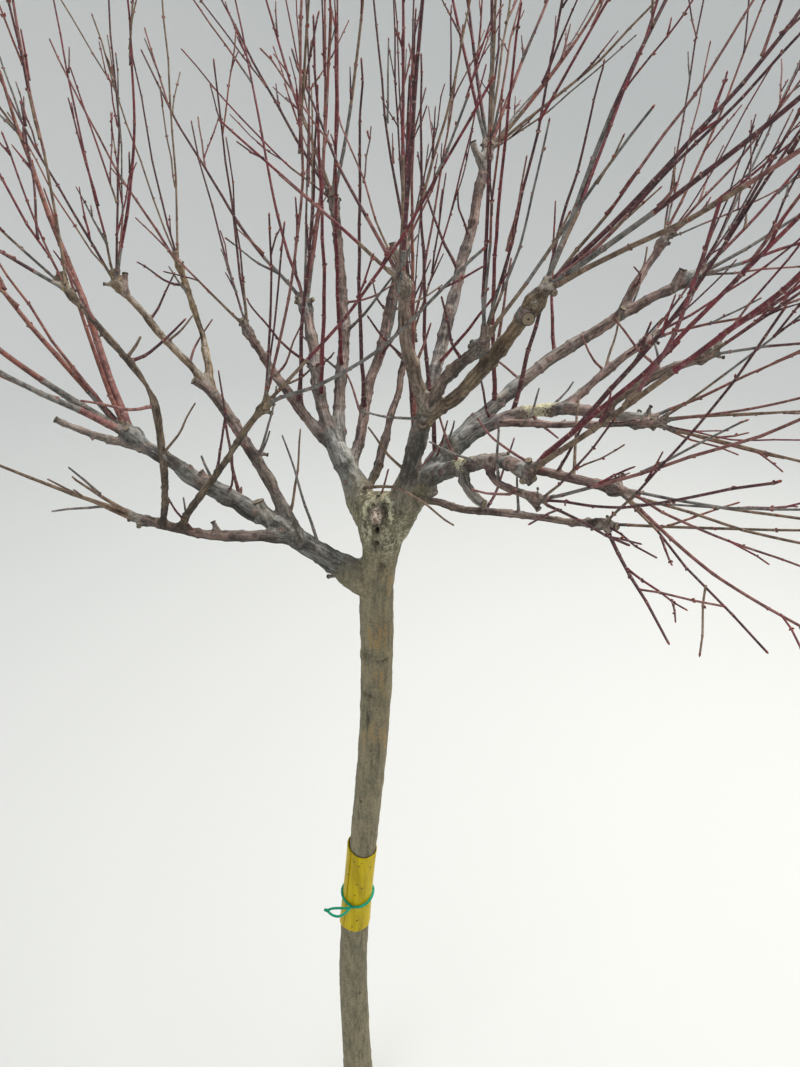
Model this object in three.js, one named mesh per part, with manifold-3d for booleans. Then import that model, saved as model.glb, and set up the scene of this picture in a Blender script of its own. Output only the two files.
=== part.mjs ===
// A young Japanese maple grown on a clear stem, bare of leaves, built limb by limb.
// Lengths are in millimetres and +Z is up. The origin is the middle of the flat cut under the
// trunk, at ground level. A heading is in degrees from +X towards +Y, and a rise is in degrees
// above the level.

import * as THREE from "three";
import { mergeVertices } from "three/addons/utils/BufferGeometryUtils.js";
import Module from "manifold-3d";

const wasm = await Module();
wasm.setup();

// The clearance between neighbouring solids that touch in the real tree
const GAP = 0.3;

// The label sleeve: a thin sheet of plastic wrapped once round the trunk, its end lapped over
const SLEEVE_BOTTOM = 484;
const SLEEVE_TOP = 640;
const SLEEVE_MIDDLE = (SLEEVE_BOTTOM + SLEEVE_TOP) / 2;
const SLEEVE_TRUNK_RADIUS = 19.4;
const SLEEVE_WALL = 0.8;
const SLEEVE_SIDES = 20;
const SLEEVE_LAP_SIDES = 3;
const SLEEVE_SEAM_HEADING = 167;

// The wire tie: a ring round the sleeve whose twisted ends stand out as a small loop
const TIE_HEIGHT = 543;
const TIE_WIRE = 0.9;
const TIE_SIDES = 20;
const TIE_NECK_LENGTH = 15;
const TIE_NECK_RADIUS = 1.7;
const TIE_NECK_SIDES = 6;
const TIE_LOOP_RADIUS = 5;
const TIE_LOOP_SIDES = 12;
const TIE_WIRE_SIDES = 4;
const TIE_HEADING = 190;
const TIE_DROP = -18;

// The trunk: its radius at each height, from the root flare up to the swollen head
const TRUNK_PROFILE = [
  [0, 31],
  [25, 27],
  [60, 24.4],
  [130, 22.6],
  [300, 21.2],
  [SLEEVE_BOTTOM, SLEEVE_TRUNK_RADIUS],
  [SLEEVE_MIDDLE, 18.5],
  [SLEEVE_TOP, 17.7],
  [750, 17.3],
  [860, 17.5],
  [970, 18],
  [1050, 17.8],
  [1094, 18.6],
  [1120, 23.5],
  [1138, 25],
  [1150, 19],
];
const TRUNK_TOP = 1150;
const TRUNK_SIDES = 16;
const STEM_SWAY = 46;
const STEM_SWAY_START = 300;
const STEM_SWAY_END = 1000;
const HEAD_SWAY = 9;
const HEAD_SWAY_START = 1040;
const HEAD_SWAY_END = 1125;
const FLARE_LOBES = 5;
const FLARE_DEPTH = 0.12;
const FLARE_HEIGHT = 45;

// The boughs: name, parent, share of the parent's length at the foot, heading and rise at the
// foot and at the tip, length, and radius at the foot and at the tip
const BOUGHS = [
  bough("bough_left", "trunk", 0.913, [182, 168], [37.5, 30.5], 271, [12, 7.2]),
  bough("bough_left_low", "bough_left", 0.38, [212, 206], [14, 26], 138, [7.2, 5.2]),
  bough("bough_left_arch", "bough_left_low", 0.95, [312, 290], [58, 78], 154, [4.4, 3.6]),
  bough("bough_left_arch_tip", "bough_left_arch", 1, [172, 162], [58, 50], 80, [3.6, 3.2]),
  bough("bough_left_inner", "bough_left_low", 0.84, [-30, -34], [54, 50], 174, [4.4, 3.4]),
  bough("bough_left_back", "bough_left", 0.36, [132, 138], [56, 37], 178, [8.5, 6.5]),
  bough("bough_left_back_low", "bough_left_back", 1, [150, 148], [38, 40], 138, [5.6, 4.5]),
  bough("bough_left_back_high", "bough_left_back", 0.96, [112, 124], [42, 50], 140, [4.8, 3.8]),
  bough("bough_centre", "trunk", 0.962, [145, 125], [50, 45], 102, [13, 10.5]),
  bough("bough_centre_left", "bough_centre", 0.96, [144, 130], [30, 47], 155, [6.5, 4.2]),
  bough("bough_centre_middle", "bough_centre", 1, [118, 100], [44, 50], 150, [7, 5.4]),
  bough("bough_centre_back", "bough_centre", 0.94, [88, 94], [40, 56], 282, [7, 5]),
  bough("bough_centre_right", "bough_centre", 0.7, [80, 62], [42, 54], 250, [6.2, 4.6]),
  bough("bough_centre_low", "bough_centre", 0.4, [66, 78], [36, 38], 200, [5, 3.6]),
  bough("bough_front", "trunk", 0.97, [-40, -60], [64, 68], 160, [10, 7.8]),
  bough("bough_front_left", "bough_front", 1, [200, 180], [66, 86], 96, [6.2, 5]),
  bough("bough_front_middle", "bough_front", 1, [-66, -43], [62, 38], 87, [5.6, 4.5]),
  bough("bough_front_right", "bough_front", 0.93, [-36, -38], [38, 62], 140, [7, 6]),
  bough("bough_back", "trunk", 0.965, [64, 68], [44, 52], 430, [8, 5.4]),
  bough("bough_right", "trunk", 0.97, [18, 32], [56, 42], 107, [10.5, 8.4]),
  bough("bough_right_high", "bough_right", 1, [42, -4], [30, 25], 290, [7.6, 5]),
  bough("bough_right_high_back", "bough_right_high", 0.76, [52, 44], [38, 34], 92, [4.8, 4]),
  bough("bough_right_low", "bough_right", 0.92, [6, -38], [44, -6], 184, [6.8, 5.2]),
  bough("bough_right_low_outer", "bough_right_low", 0.85, [-18, -16], [46, 28], 94, [4.4, 3.8]),
  bough("bough_right_low_back", "bough_right_low", 0.66, [36, 24], [30, 27], 103, [4.5, 3.8]),
  bough("bough_right_low_front", "bough_right_low", 0.3, [-38, -26], [18, 8], 144, [3.8, 3.1]),
  bough("bough_near", "bough_right", 0.6, [-46, -74], [36, 14], 172, [7, 5.5]),
  bough("bough_near_right", "bough_near", 0.8, [-40, -42], [6, 6], 92, [4.6, 4]),
  bough("bough_near_low", "bough_right", 0.4, [-52, -44], [12, 21], 222, [4.2, 3.4]),
  bough("bough_near_spur", "bough_near", 0.6, [-86, -42], [-8, 6], 76, [3.8, 3.2]),
];
const BOUGH_STEP = 36;
const BOUGH_SIDES = 6;
const BOUGH_KINK = 7;

// The twig masses: the bough that carries it, its number of leading shoots, and the heading,
// rise and length of the first and the last of them
const MASSES = [
  mass("bough_left", 4, [134, 66, 400], [195, 35, 230]),
  mass("bough_left_low", 2, [206, 34, 175], [232, 50, 80]),
  mass("bough_left_arch_tip", 3, [100, 78, 270], [195, 42, 210]),
  mass("bough_left_inner", 3, [-40, 32, 250], [-12, 82, 280]),
  mass("bough_left_back_low", 4, [40, 80, 300], [150, 56, 300]),
  mass("bough_left_back_high", 3, [100, 76, 290], [150, 54, 270]),
  mass("bough_centre_left", 3, [110, 80, 260], [152, 40, 170]),
  mass("bough_centre_middle", 5, [40, 82, 340], [150, 50, 340]),
  mass("bough_centre_back", 4, [60, 74, 320], [155, 54, 310]),
  mass("bough_centre_right", 4, [20, 66, 260], [112, 72, 320]),
  mass("bough_centre_low", 3, [30, 68, 300], [98, 72, 340]),
  mass("bough_front_left", 4, [60, 84, 330], [165, 36, 170]),
  mass("bough_front_middle", 3, [95, 84, 340], [-20, 60, 200]),
  mass("bough_front_right", 4, [-38, 42, 470], [45, 54, 440]),
  mass("bough_back", 6, [5, 46, 330], [125, 68, 350]),
  mass("bough_right_high", 4, [-6, 26, 300], [52, 50, 350]),
  mass("bough_right_high_back", 4, [0, 46, 320], [75, 60, 330]),
  mass("bough_right_low", 3, [-40, -2, 120], [-2, 24, 190]),
  mass("bough_right_low_outer", 3, [-28, 20, 240], [18, 56, 250]),
  mass("bough_right_low_back", 3, [-20, 24, 230], [32, 50, 260]),
  mass("bough_right_low_front", 3, [-12, 46, 210], [-46, 4, 260]),
  mass("bough_near", 3, [-50, 46, 460], [-16, 62, 260]),
  mass("bough_near_right", 4, [-68, -12, 180], [-28, 6, 270]),
  mass("bough_near_low", 3, [-72, 6, 150], [-30, 44, 200]),
  mass("bough_near_spur", 3, [-36, 40, 330], [-84, 16, 190]),
];
const FIRST_SEED = 11;

// The twigs of a mass: a pruned knob on the bough's tip, leading shoots that fan out of the knob
// and bend upwards, and side shoots on these
const KNOB_LENGTH = 5;
const KNOB_LENGTH_PER_RADIUS = 2.6;
const KNOB_RINGS = [0, 0.55, 1];
const KNOB_SWELL = [1, 1.3, 0.8];
const KNOB_SIDES = 6;
const TWIG_SIDES = 3;
const TWIG_STEP = 125;
const TWIG_KINK = 5;
const TWIG_LIFT = 16;
const STEEPEST_RISE = 88;
const TWIG_TIP_RADIUS = 1.2;
const TWIG_CLEARANCE = 1.2;
const TWIG_TRIES = 8;
const LEADER_RADIUS_PER_TIP = 0.62;
const LEADER_LEAST_RADIUS = 2.4;
const LEADER_JITTER = 7;
const LEADER_FEET = [0.6, 0.9];
const LEADER_LENGTHS = [0.88, 1.08];
const LEADER_RADII = [0.85, 1.15];
const SIDES_PER_LEADER = 1;
const SIDE_FEET = [0.2, 0.8];
const SIDE_SPREAD = [26, 50];
const SIDE_RISE = 19;
const SIDE_LENGTHS = [0.22, 0.5];
const SIDE_RADIUS = 0.8;
const MASS_SPREAD = 80;

// Colours, roughness as on dry bark and on soft plastic
const BARK_COLOUR = 0x8b7c5e;
const BOUGH_COLOUR = 0x77756a;
const TWIG_COLOUR = 0x7a2430;
const SLEEVE_COLOUR = 0xd9b81a;
const TIE_COLOUR = 0x1f8f6a;
const BARK_ROUGHNESS = 0.88;
const TWIG_ROUGHNESS = 0.6;
const PLASTIC_ROUGHNESS = 0.42;

function bough(name, parent, at, heading, rise, length, radius) {
  return { name, parent, at, heading, rise, length, radius };
}

function mass(bough, shoots, first, last) {
  return { name: bough.replace("bough", "twigs"), bough, shoots, first, last };
}

const UP = new THREE.Vector3(0, 0, 1);
const RIGHT = new THREE.Vector3(1, 0, 0);

// Evenly spread numbers from 0 to 1 that come out the same in every run
function seeded(seed) {
  let state = seed * 7919;
  return () => {
    state = (state * 48271) % 2147483647;
    return state / 2147483647;
  };
}

// A seeded number from -size to size
function either(random, size) {
  return (random() * 2 - 1) * size;
}

// A seeded number from the first of a pair to the last
function within(random, pair) {
  return between(pair, random());
}

// The unit vector of a heading and a rise
function direction(heading, rise) {
  const turn = THREE.MathUtils.degToRad(heading);
  const tilt = THREE.MathUtils.degToRad(rise);
  const level = Math.cos(tilt);
  return new THREE.Vector3(level * Math.cos(turn), level * Math.sin(turn), Math.sin(tilt));
}

// The value a share of the way through a pair
function between([first, last], share) {
  return THREE.MathUtils.lerp(first, last, share);
}

// The point a share of the way along a line of evenly spaced points
function pointAlong(points, share) {
  const place = share * (points.length - 1);
  const before = Math.min(Math.floor(place), points.length - 2);
  return points[before].clone().lerp(points[before + 1], place - before);
}

// The line of points that a limb follows: its heading and rise turn evenly from their first
// values to their last, and each step kinks a little to one side
function growPath(start, heading, rise, length, step, kink, random) {
  const steps = Math.max(1, Math.round(length / step));
  const points = [start.clone()];
  for (let i = 0; i < steps; i++) {
    const share = (i + 0.5) / steps;
    const turn = between(heading, share) + either(random, kink);
    const tilt = between(rise, share) + either(random, kink / 2);
    points.push(points[i].clone().addScaledVector(direction(turn, tilt), length / steps));
  }
  return points;
}

// The direction in which a line of points leaves each of its points
function tangents(points) {
  return points.map((point, i) => {
    const ahead = points[Math.min(i + 1, points.length - 1)];
    const behind = points[Math.max(i - 1, 0)];
    return ahead.clone().sub(behind).normalize();
  });
}

// A closed tube along a line of points: a cylinder with one ring at each point, which has that
// point's radius and is set across that point's direction
function tube(points, radii, sides, along = tangents(points), startAcross = UP) {
  const rings = points.length - 1;
  const cylinder = new THREE.CylinderGeometry(1, 1, 1, sides, rings);
  cylinder.deleteAttribute("normal");
  cylinder.deleteAttribute("uv");
  const geometry = mergeVertices(cylinder);
  const across = [];
  let last = startAcross;
  for (const tangent of along) {
    last = last.clone().addScaledVector(tangent, -last.dot(tangent)).normalize();
    across.push(last);
  }
  const over = along.map((tangent, i) => across[i].clone().cross(tangent));
  const place = geometry.attributes.position;
  const moved = new THREE.Vector3();
  for (let i = 0; i < place.count; i++) {
    const ring = Math.round((place.getY(i) + 0.5) * rings);
    moved.copy(points[ring]);
    moved.addScaledVector(across[ring], place.getX(i) * radii[ring]);
    moved.addScaledVector(over[ring], place.getZ(i) * radii[ring]);
    place.setXYZ(i, moved.x, moved.y, moved.z);
  }
  return geometry;
}

// A geometry with merged vertices as a solid, and a solid as a geometry
function solidOf(geometry) {
  const vertProperties = geometry.attributes.position.array;
  const triVerts = new Uint32Array(geometry.index.array);
  return new wasm.Manifold(new wasm.Mesh({ numProp: 3, vertProperties, triVerts }));
}

function geometryOf(solid) {
  const { vertProperties, triVerts } = solid.getMesh();
  const geometry = new THREE.BufferGeometry();
  geometry.setAttribute("position", new THREE.BufferAttribute(vertProperties, 3));
  geometry.setIndex(new THREE.BufferAttribute(triVerts, 1));
  return geometry;
}

// A geometry class's shape with only its positions left, as a solid
function plainSolid(shape) {
  shape.deleteAttribute("normal");
  shape.deleteAttribute("uv");
  return solidOf(mergeVertices(shape));
}

// The largest of the bodies that a cut leaves
function largestBody(solid) {
  return solid.decompose().reduce((best, body) => (body.volume() > best.volume() ? body : best));
}

// A limb's solid, made fatter and longer by extra all round
function limbSolid(limb, extra = 0) {
  const points = limb.points.map((point) => point.clone());
  points[0].addScaledVector(limb.along[0], -extra);
  points.at(-1).addScaledVector(limb.along.at(-1), extra);
  const fatter = extra / Math.cos(Math.PI / limb.sides);
  const radii = limb.radii.map((radius) => radius + fatter);
  return solidOf(tube(points, radii, limb.sides, limb.along, limb.startAcross));
}

// The trunk's middle at a height: it stands straight, sways over to one side, and its head once more
function trunkMiddle(height) {
  const stem = STEM_SWAY * THREE.MathUtils.smoothstep(height, STEM_SWAY_START, STEM_SWAY_END);
  const head = HEAD_SWAY * THREE.MathUtils.smoothstep(height, HEAD_SWAY_START, HEAD_SWAY_END);
  return new THREE.Vector3(stem + head, 0, height);
}

// The trunk as a limb whose rings are all level
function trunkLimb() {
  const points = TRUNK_PROFILE.map(([height]) => trunkMiddle(height));
  const radii = TRUNK_PROFILE.map(([, radius]) => radius);
  const along = points.map(() => UP);
  const pointAt = (share) => trunkMiddle(share * TRUNK_TOP);
  return { name: "trunk", points, radii, along, sides: TRUNK_SIDES, pointAt, startAcross: RIGHT };
}

// The trunk's solid, with a root flare whose lobes die out upwards
function trunkSolid(limb) {
  const geometry = tube(limb.points, limb.radii, limb.sides, limb.along, limb.startAcross);
  const place = geometry.attributes.position;
  for (let i = 0; i < place.count; i++) {
    const height = place.getZ(i);
    const middle = trunkMiddle(height).x;
    const out = new THREE.Vector2(place.getX(i) - middle, place.getY(i));
    const lobes = Math.cos(FLARE_LOBES * out.angle());
    const swell = 1 + FLARE_DEPTH * lobes * Math.exp(-height / FLARE_HEIGHT);
    place.setXYZ(i, middle + out.x * swell, out.y * swell, height);
  }
  return solidOf(geometry);
}

function boughLimb(row, parent, seed) {
  const start = parent.pointAt(row.at);
  const random = seeded(seed);
  const { heading, rise, length } = row;
  const points = growPath(start, heading, rise, length, BOUGH_STEP, BOUGH_KINK, random);
  const radii = points.map((_, i) => between(row.radius, i / (points.length - 1)));
  const pointAt = (share) => pointAlong(points, share);
  return { name: row.name, points, radii, along: tangents(points), sides: BOUGH_SIDES, pointAt };
}

// The stretches of a limb as thick lines, which say what space it takes
function stretches(owner, points, radii) {
  return points.slice(1).map((end, i) => ({
    owner,
    line: new THREE.Line3(points[i], end),
    radius: Math.max(radii[i], radii[i + 1]),
  }));
}

// Whether a twig keeps clear of every limb and twig that isn't its own mass's
function isClear(twig, owner, taken) {
  return stretches(owner, twig.points, twig.radii).every((stretch) =>
    taken.every((other) => {
      const apart = stretch.radius + other.radius + TWIG_CLEARANCE;
      return other.owner === owner || stretch.line.distanceSqToLine3(other.line) > apart ** 2;
    }),
  );
}

// The knob: a short swollen stem that starts just clear of the bough's tip
function growKnob(row, limb) {
  const out = limb.along.at(-1);
  const radius = limb.radii.at(-1);
  const length = KNOB_LENGTH + KNOB_LENGTH_PER_RADIUS * radius;
  const foot = limb.points.at(-1).clone().addScaledVector(out, GAP);
  const points = KNOB_RINGS.map((share) => foot.clone().addScaledVector(out, share * length));
  const radii = KNOB_SWELL.map((swell) => swell * radius);
  return { name: row.name, points, radii, along: points.map(() => out), sides: KNOB_SIDES };
}

// A twig whose heading keeps and whose rise grows along its length
function growTwig(start, heading, rise, length, radius, random) {
  const rises = [rise - TWIG_LIFT / 2, Math.min(rise + TWIG_LIFT / 2, STEEPEST_RISE)];
  const points = growPath(start, [heading, heading], rises, length, TWIG_STEP, TWIG_KINK, random);
  const last = points.length - 1;
  const radii = points.map((_, i) => between([radius, TWIG_TIP_RADIUS], i / last));
  return { points, radii, heading, rise, length };
}

// Tries to grow a twig in its mass's space, and drops it where it would leave that or touch
function addTwig(grown, twig, taken) {
  const reach = twig.points.at(-1).clone().sub(grown.knob.points[0]);
  const astray = THREE.MathUtils.radToDeg(reach.angleTo(grown.middle));
  if (astray > MASS_SPREAD || !isClear(twig, grown.row.name, taken)) return false;
  grown.twigs.push(twig);
  taken.push(...stretches(grown.row.name, twig.points, twig.radii));
  return true;
}

// The leading shoots, spread evenly from the first direction of the mass's fan to the last
function growLeaders(grown, taken) {
  const { row, knob, random } = grown;
  for (let i = 0; i < row.shoots; i++) {
    const share = i / (row.shoots - 1);
    const [heading, rise, length] = row.first.map((value, k) => between([value, row.last[k]], share));
    for (let attempt = 1; attempt <= TWIG_TRIES; attempt++) {
      const jitter = LEADER_JITTER * attempt;
      const start = pointAlong(knob.points, within(random, LEADER_FEET));
      const turn = heading + either(random, jitter);
      const tilt = rise + either(random, jitter / 2);
      const reach = length * within(random, LEADER_LENGTHS);
      const radius = grown.leaderRadius * within(random, LEADER_RADII);
      const twig = growTwig(start, turn, tilt, reach, radius, random);
      if (addTwig(grown, twig, taken)) break;
    }
  }
}

// The side shoots: each leaves a leading shoot to one side or the other
function growSides(grown, taken) {
  const { random } = grown;
  for (const leader of [...grown.twigs]) {
    for (let i = 0; i < SIDES_PER_LEADER; i++) {
      const share = within(random, SIDE_FEET);
      const side = random() < 0.5 ? -1 : 1;
      const turn = leader.heading + side * within(random, SIDE_SPREAD);
      const tilt = leader.rise + either(random, SIDE_RISE);
      const length = leader.length * within(random, SIDE_LENGTHS);
      const radius = between([leader.radii[0], TWIG_TIP_RADIUS], share) * SIDE_RADIUS;
      const start = pointAlong(leader.points, share);
      addTwig(grown, growTwig(start, turn, tilt, length, radius, random), taken);
    }
  }
}

// Every limb in its place: the trunk, the boughs that grow from it and from each other
const limbs = new Map([["trunk", trunkLimb()]]);
BOUGHS.forEach((row, i) => limbs.set(row.name, boughLimb(row, limbs.get(row.parent), FIRST_SEED + i)));
const taken = [...limbs.values()].flatMap((limb) => stretches(limb.name, limb.points, limb.radii));

// Every mass: all the knobs first, then all the leading shoots, then all the side shoots
const masses = MASSES.map((row, i) => {
  const limb = limbs.get(row.bough);
  const [heading, rise] = row.first.map((value, k) => between([value, row.last[k]], 0.5));
  const middle = direction(heading, rise);
  const leaderRadius = Math.max(LEADER_LEAST_RADIUS, LEADER_RADIUS_PER_TIP * limb.radii.at(-1));
  const random = seeded(FIRST_SEED + BOUGHS.length + i);
  return { row, knob: growKnob(row, limb), middle, leaderRadius, random, twigs: [] };
});
taken.push(...masses.flatMap(({ knob }) => stretches(knob.name, knob.points, knob.radii)));
masses.forEach((grown) => growLeaders(grown, taken));
masses.forEach((grown) => growSides(grown, taken));

// Each limb is cut back by the slightly larger shape of the limbs that were made before it
const solids = new Map([["trunk", trunkSolid(limbs.get("trunk"))]]);
const cutters = [limbSolid(limbs.get("trunk"), GAP)];
for (const limb of [...limbs.values()].slice(1)) {
  const whole = limbSolid(limb);
  solids.set(limb.name, largestBody(wasm.Manifold.difference([whole, ...cutters])));
  cutters.push(limbSolid(limb, GAP));
}

// Each mass is its knob and twigs fused into one body
for (const { row, knob, twigs } of masses) {
  const stem = wasm.Manifold.difference([limbSolid(knob), ...cutters]);
  const shoots = twigs.map((twig) => solidOf(tube(twig.points, twig.radii, TWIG_SIDES)));
  solids.set(row.name, largestBody(wasm.Manifold.union([stem, ...shoots])));
}

// The outline of the sleeve's wrapped sheet, looking down: one turn and a lapped end
function sleeveOutline(inner) {
  const sides = SLEEVE_SIDES + SLEEVE_LAP_SIDES;
  const edge = (side, offset) => {
    const angle = THREE.MathUtils.degToRad(SLEEVE_SEAM_HEADING) + (side / SLEEVE_SIDES) * 2 * Math.PI;
    const lap = THREE.MathUtils.smoothstep(side, SLEEVE_SIDES - SLEEVE_LAP_SIDES, SLEEVE_SIDES);
    const radius = inner + offset + lap * (SLEEVE_WALL + GAP);
    return new THREE.Vector2(radius * Math.cos(angle), radius * Math.sin(angle));
  };
  const numbers = Array.from({ length: sides + 1 }, (_, side) => side);
  const outside = numbers.map((side) => edge(side, SLEEVE_WALL));
  const inside = numbers.map((side) => edge(side, 0)).reverse();
  return new THREE.Shape([...outside, ...inside]);
}

const SLEEVE_INNER = (SLEEVE_TRUNK_RADIUS + GAP) / Math.cos(Math.PI / SLEEVE_SIDES);
const SLEEVE_OUTER = SLEEVE_INNER + 2 * SLEEVE_WALL + GAP;

// The sleeve stands round the trunk, so its sheet follows the trunk's lean
function sleeveSolid() {
  const depth = SLEEVE_TOP - SLEEVE_BOTTOM;
  const sheet = new THREE.ExtrudeGeometry(sleeveOutline(SLEEVE_INNER), {
    depth,
    steps: 2,
    bevelEnabled: false,
  });
  const place = sheet.attributes.position;
  for (let i = 0; i < place.count; i++) {
    const height = SLEEVE_BOTTOM + place.getZ(i);
    place.setXYZ(i, place.getX(i) + trunkMiddle(height).x, place.getY(i), height);
  }
  return plainSolid(sheet);
}

// A ring of the tie's wire, lying level round the origin
function wireRing(radius, sides) {
  return new THREE.TorusGeometry(radius, TIE_WIRE, TIE_WIRE_SIDES, sides);
}

// The tie: a ring round the sleeve, a twisted neck and a loop at its end
function tieSolid() {
  const middle = trunkMiddle(TIE_HEIGHT);
  const ringRadius = (SLEEVE_OUTER + GAP) / Math.cos(Math.PI / TIE_SIDES) + TIE_WIRE;
  const ring = wireRing(ringRadius, TIE_SIDES).translate(...middle);
  const out = direction(TIE_HEADING, TIE_DROP);
  const foot = middle.clone().addScaledVector(direction(TIE_HEADING, 0), ringRadius);
  const end = foot.clone().addScaledVector(out, TIE_NECK_LENGTH);
  const neck = tube([foot, end], [TIE_NECK_RADIUS, TIE_NECK_RADIUS], TIE_NECK_SIDES);
  const loopMiddle = end.clone().addScaledVector(out, TIE_LOOP_RADIUS);
  const loop = wireRing(TIE_LOOP_RADIUS, TIE_LOOP_SIDES).translate(...loopMiddle);
  return wasm.Manifold.union([plainSolid(ring), solidOf(neck), plainSolid(loop)]);
}

solids.set("label_sleeve", sleeveSolid());
solids.set("label_tie", tieSolid());

// The finish of a node, by what kind of piece its name says it is
function finish(name) {
  if (name === "label_sleeve") return { color: SLEEVE_COLOUR, roughness: PLASTIC_ROUGHNESS };
  if (name === "label_tie") return { color: TIE_COLOUR, roughness: PLASTIC_ROUGHNESS };
  if (name.startsWith("twigs")) return { color: TWIG_COLOUR, roughness: TWIG_ROUGHNESS };
  if (name.startsWith("bough")) return { color: BOUGH_COLOUR, roughness: BARK_ROUGHNESS };
  return { color: BARK_COLOUR, roughness: BARK_ROUGHNESS };
}

const tree = new THREE.Group();
for (const [name, solid] of solids) {
  const material = new THREE.MeshStandardMaterial({ ...finish(name), metalness: 0 });
  const mesh = new THREE.Mesh(geometryOf(solid), material);
  mesh.name = name;
  tree.add(mesh);
}

export default tree;
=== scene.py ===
"""A young Japanese maple grown on a clear stem, bare of leaves: its bark, twigs, buds and label.

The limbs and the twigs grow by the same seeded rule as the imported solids, in millimetres, with a
heading in degrees from +X towards +Y and a rise in degrees above the level. The meshes are in metres.
"""

import math
from dataclasses import dataclass, field
from functools import lru_cache

import bmesh
import bpy
import numpy as np
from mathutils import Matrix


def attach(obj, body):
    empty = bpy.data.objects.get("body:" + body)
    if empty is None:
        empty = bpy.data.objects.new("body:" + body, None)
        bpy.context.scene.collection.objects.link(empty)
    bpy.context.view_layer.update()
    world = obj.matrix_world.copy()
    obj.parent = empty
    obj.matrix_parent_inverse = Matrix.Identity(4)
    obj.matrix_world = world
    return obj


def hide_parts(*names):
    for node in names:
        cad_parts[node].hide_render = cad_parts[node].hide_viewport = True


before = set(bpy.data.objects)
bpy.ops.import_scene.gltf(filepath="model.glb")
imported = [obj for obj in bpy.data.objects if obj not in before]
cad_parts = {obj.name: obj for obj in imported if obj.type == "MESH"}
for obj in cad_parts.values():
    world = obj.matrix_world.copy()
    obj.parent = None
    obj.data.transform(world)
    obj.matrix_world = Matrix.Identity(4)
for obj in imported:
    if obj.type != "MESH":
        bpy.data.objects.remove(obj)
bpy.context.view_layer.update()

bl_info = {
    "name": "Bare Japanese Maple",
    "version": (1, 0, 0),
    "blender": (4, 5, 0),
    "location": "View3D > Sidebar > Maple",
    "description": "Grows the bark, twigs, buds and label of a bare young maple round its solids",
    "category": "Add Mesh",
}

MM = 0.001
UP = np.array([0.0, 0.0, 1.0])

# The steps of the seeded numbers
SEED_SPREAD = 7919
SEED_STEP = 48271
SEED_PRIME = 2147483647

# The label sleeve and its tie, and the gap between two solids
GAP = 0.3
SLEEVE_BOTTOM = 484
SLEEVE_TOP = 640
SLEEVE_TRUNK_RADIUS = 19.4
SLEEVE_WALL = 0.7
SLEEVE_LAP = 0.15
SLEEVE_GAP = 0.5
SLEEVE_SEAM_HEADING = 167
TIE_HEIGHT = 543

# The camera and the studio, in metres and degrees
CAMERA_PLACE = (0.071, -0.672, 1.5)
CAMERA_PITCH = 30
CAMERA_LENS = 25.98
CAMERA_NEAR = 0.02

# The lights: name, place, aim, width, power and colour
LIGHTS = [
    ("key", (1.6, 0.7, 3.4), (0.1, 0, 1.1), 1.0, 92, (1.0, 0.96, 0.9)),
    ("fill", (-2.0, -2.4, 2.2), (0, 0, 1.0), 2.2, 15, (0.93, 0.96, 1.0)),
]
WORLD_COLOUR = (0.86, 0.9, 0.96, 1)
WORLD_STRENGTH = 0.9

# The floor: how far it is flat, how far it reaches, how much it curves up between, and its sides
FLOOR_FLAT = 4
FLOOR_REACH = 10.5
FLOOR_CURVE = 0.225
FLOOR_SIDES = 64

# The trunk: its radius at each height, from the root flare up to the swollen head
TRUNK_PROFILE = [
    (0, 31),
    (25, 27),
    (60, 24.4),
    (130, 22.6),
    (300, 21.2),
    (SLEEVE_BOTTOM, SLEEVE_TRUNK_RADIUS),
    (562, 18.5),
    (SLEEVE_TOP, 17.7),
    (750, 17.3),
    (860, 17.5),
    (970, 18),
    (1050, 17.8),
    (1094, 18.6),
    (1120, 23.5),
    (1138, 25),
    (1150, 19),
]
TRUNK_TOP = 1150
STEM_SWAY = 46
STEM_SWAY_START = 300
STEM_SWAY_END = 1000
HEAD_SWAY = 9
HEAD_SWAY_START = 1040
HEAD_SWAY_END = 1125
FLARE_LOBES = 5
FLARE_DEPTH = 0.12
FLARE_HEIGHT = 45

# How far back the upright plane is that parts the crown's bark into its two pieces
PARTING_DEPTH = 30

# How the skin is drawn smooth at a joint: how far out, in radii of the bough, and in how many rounds
JOINT_REACH = 1.5
JOINT_ROUNDS = 26

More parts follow.
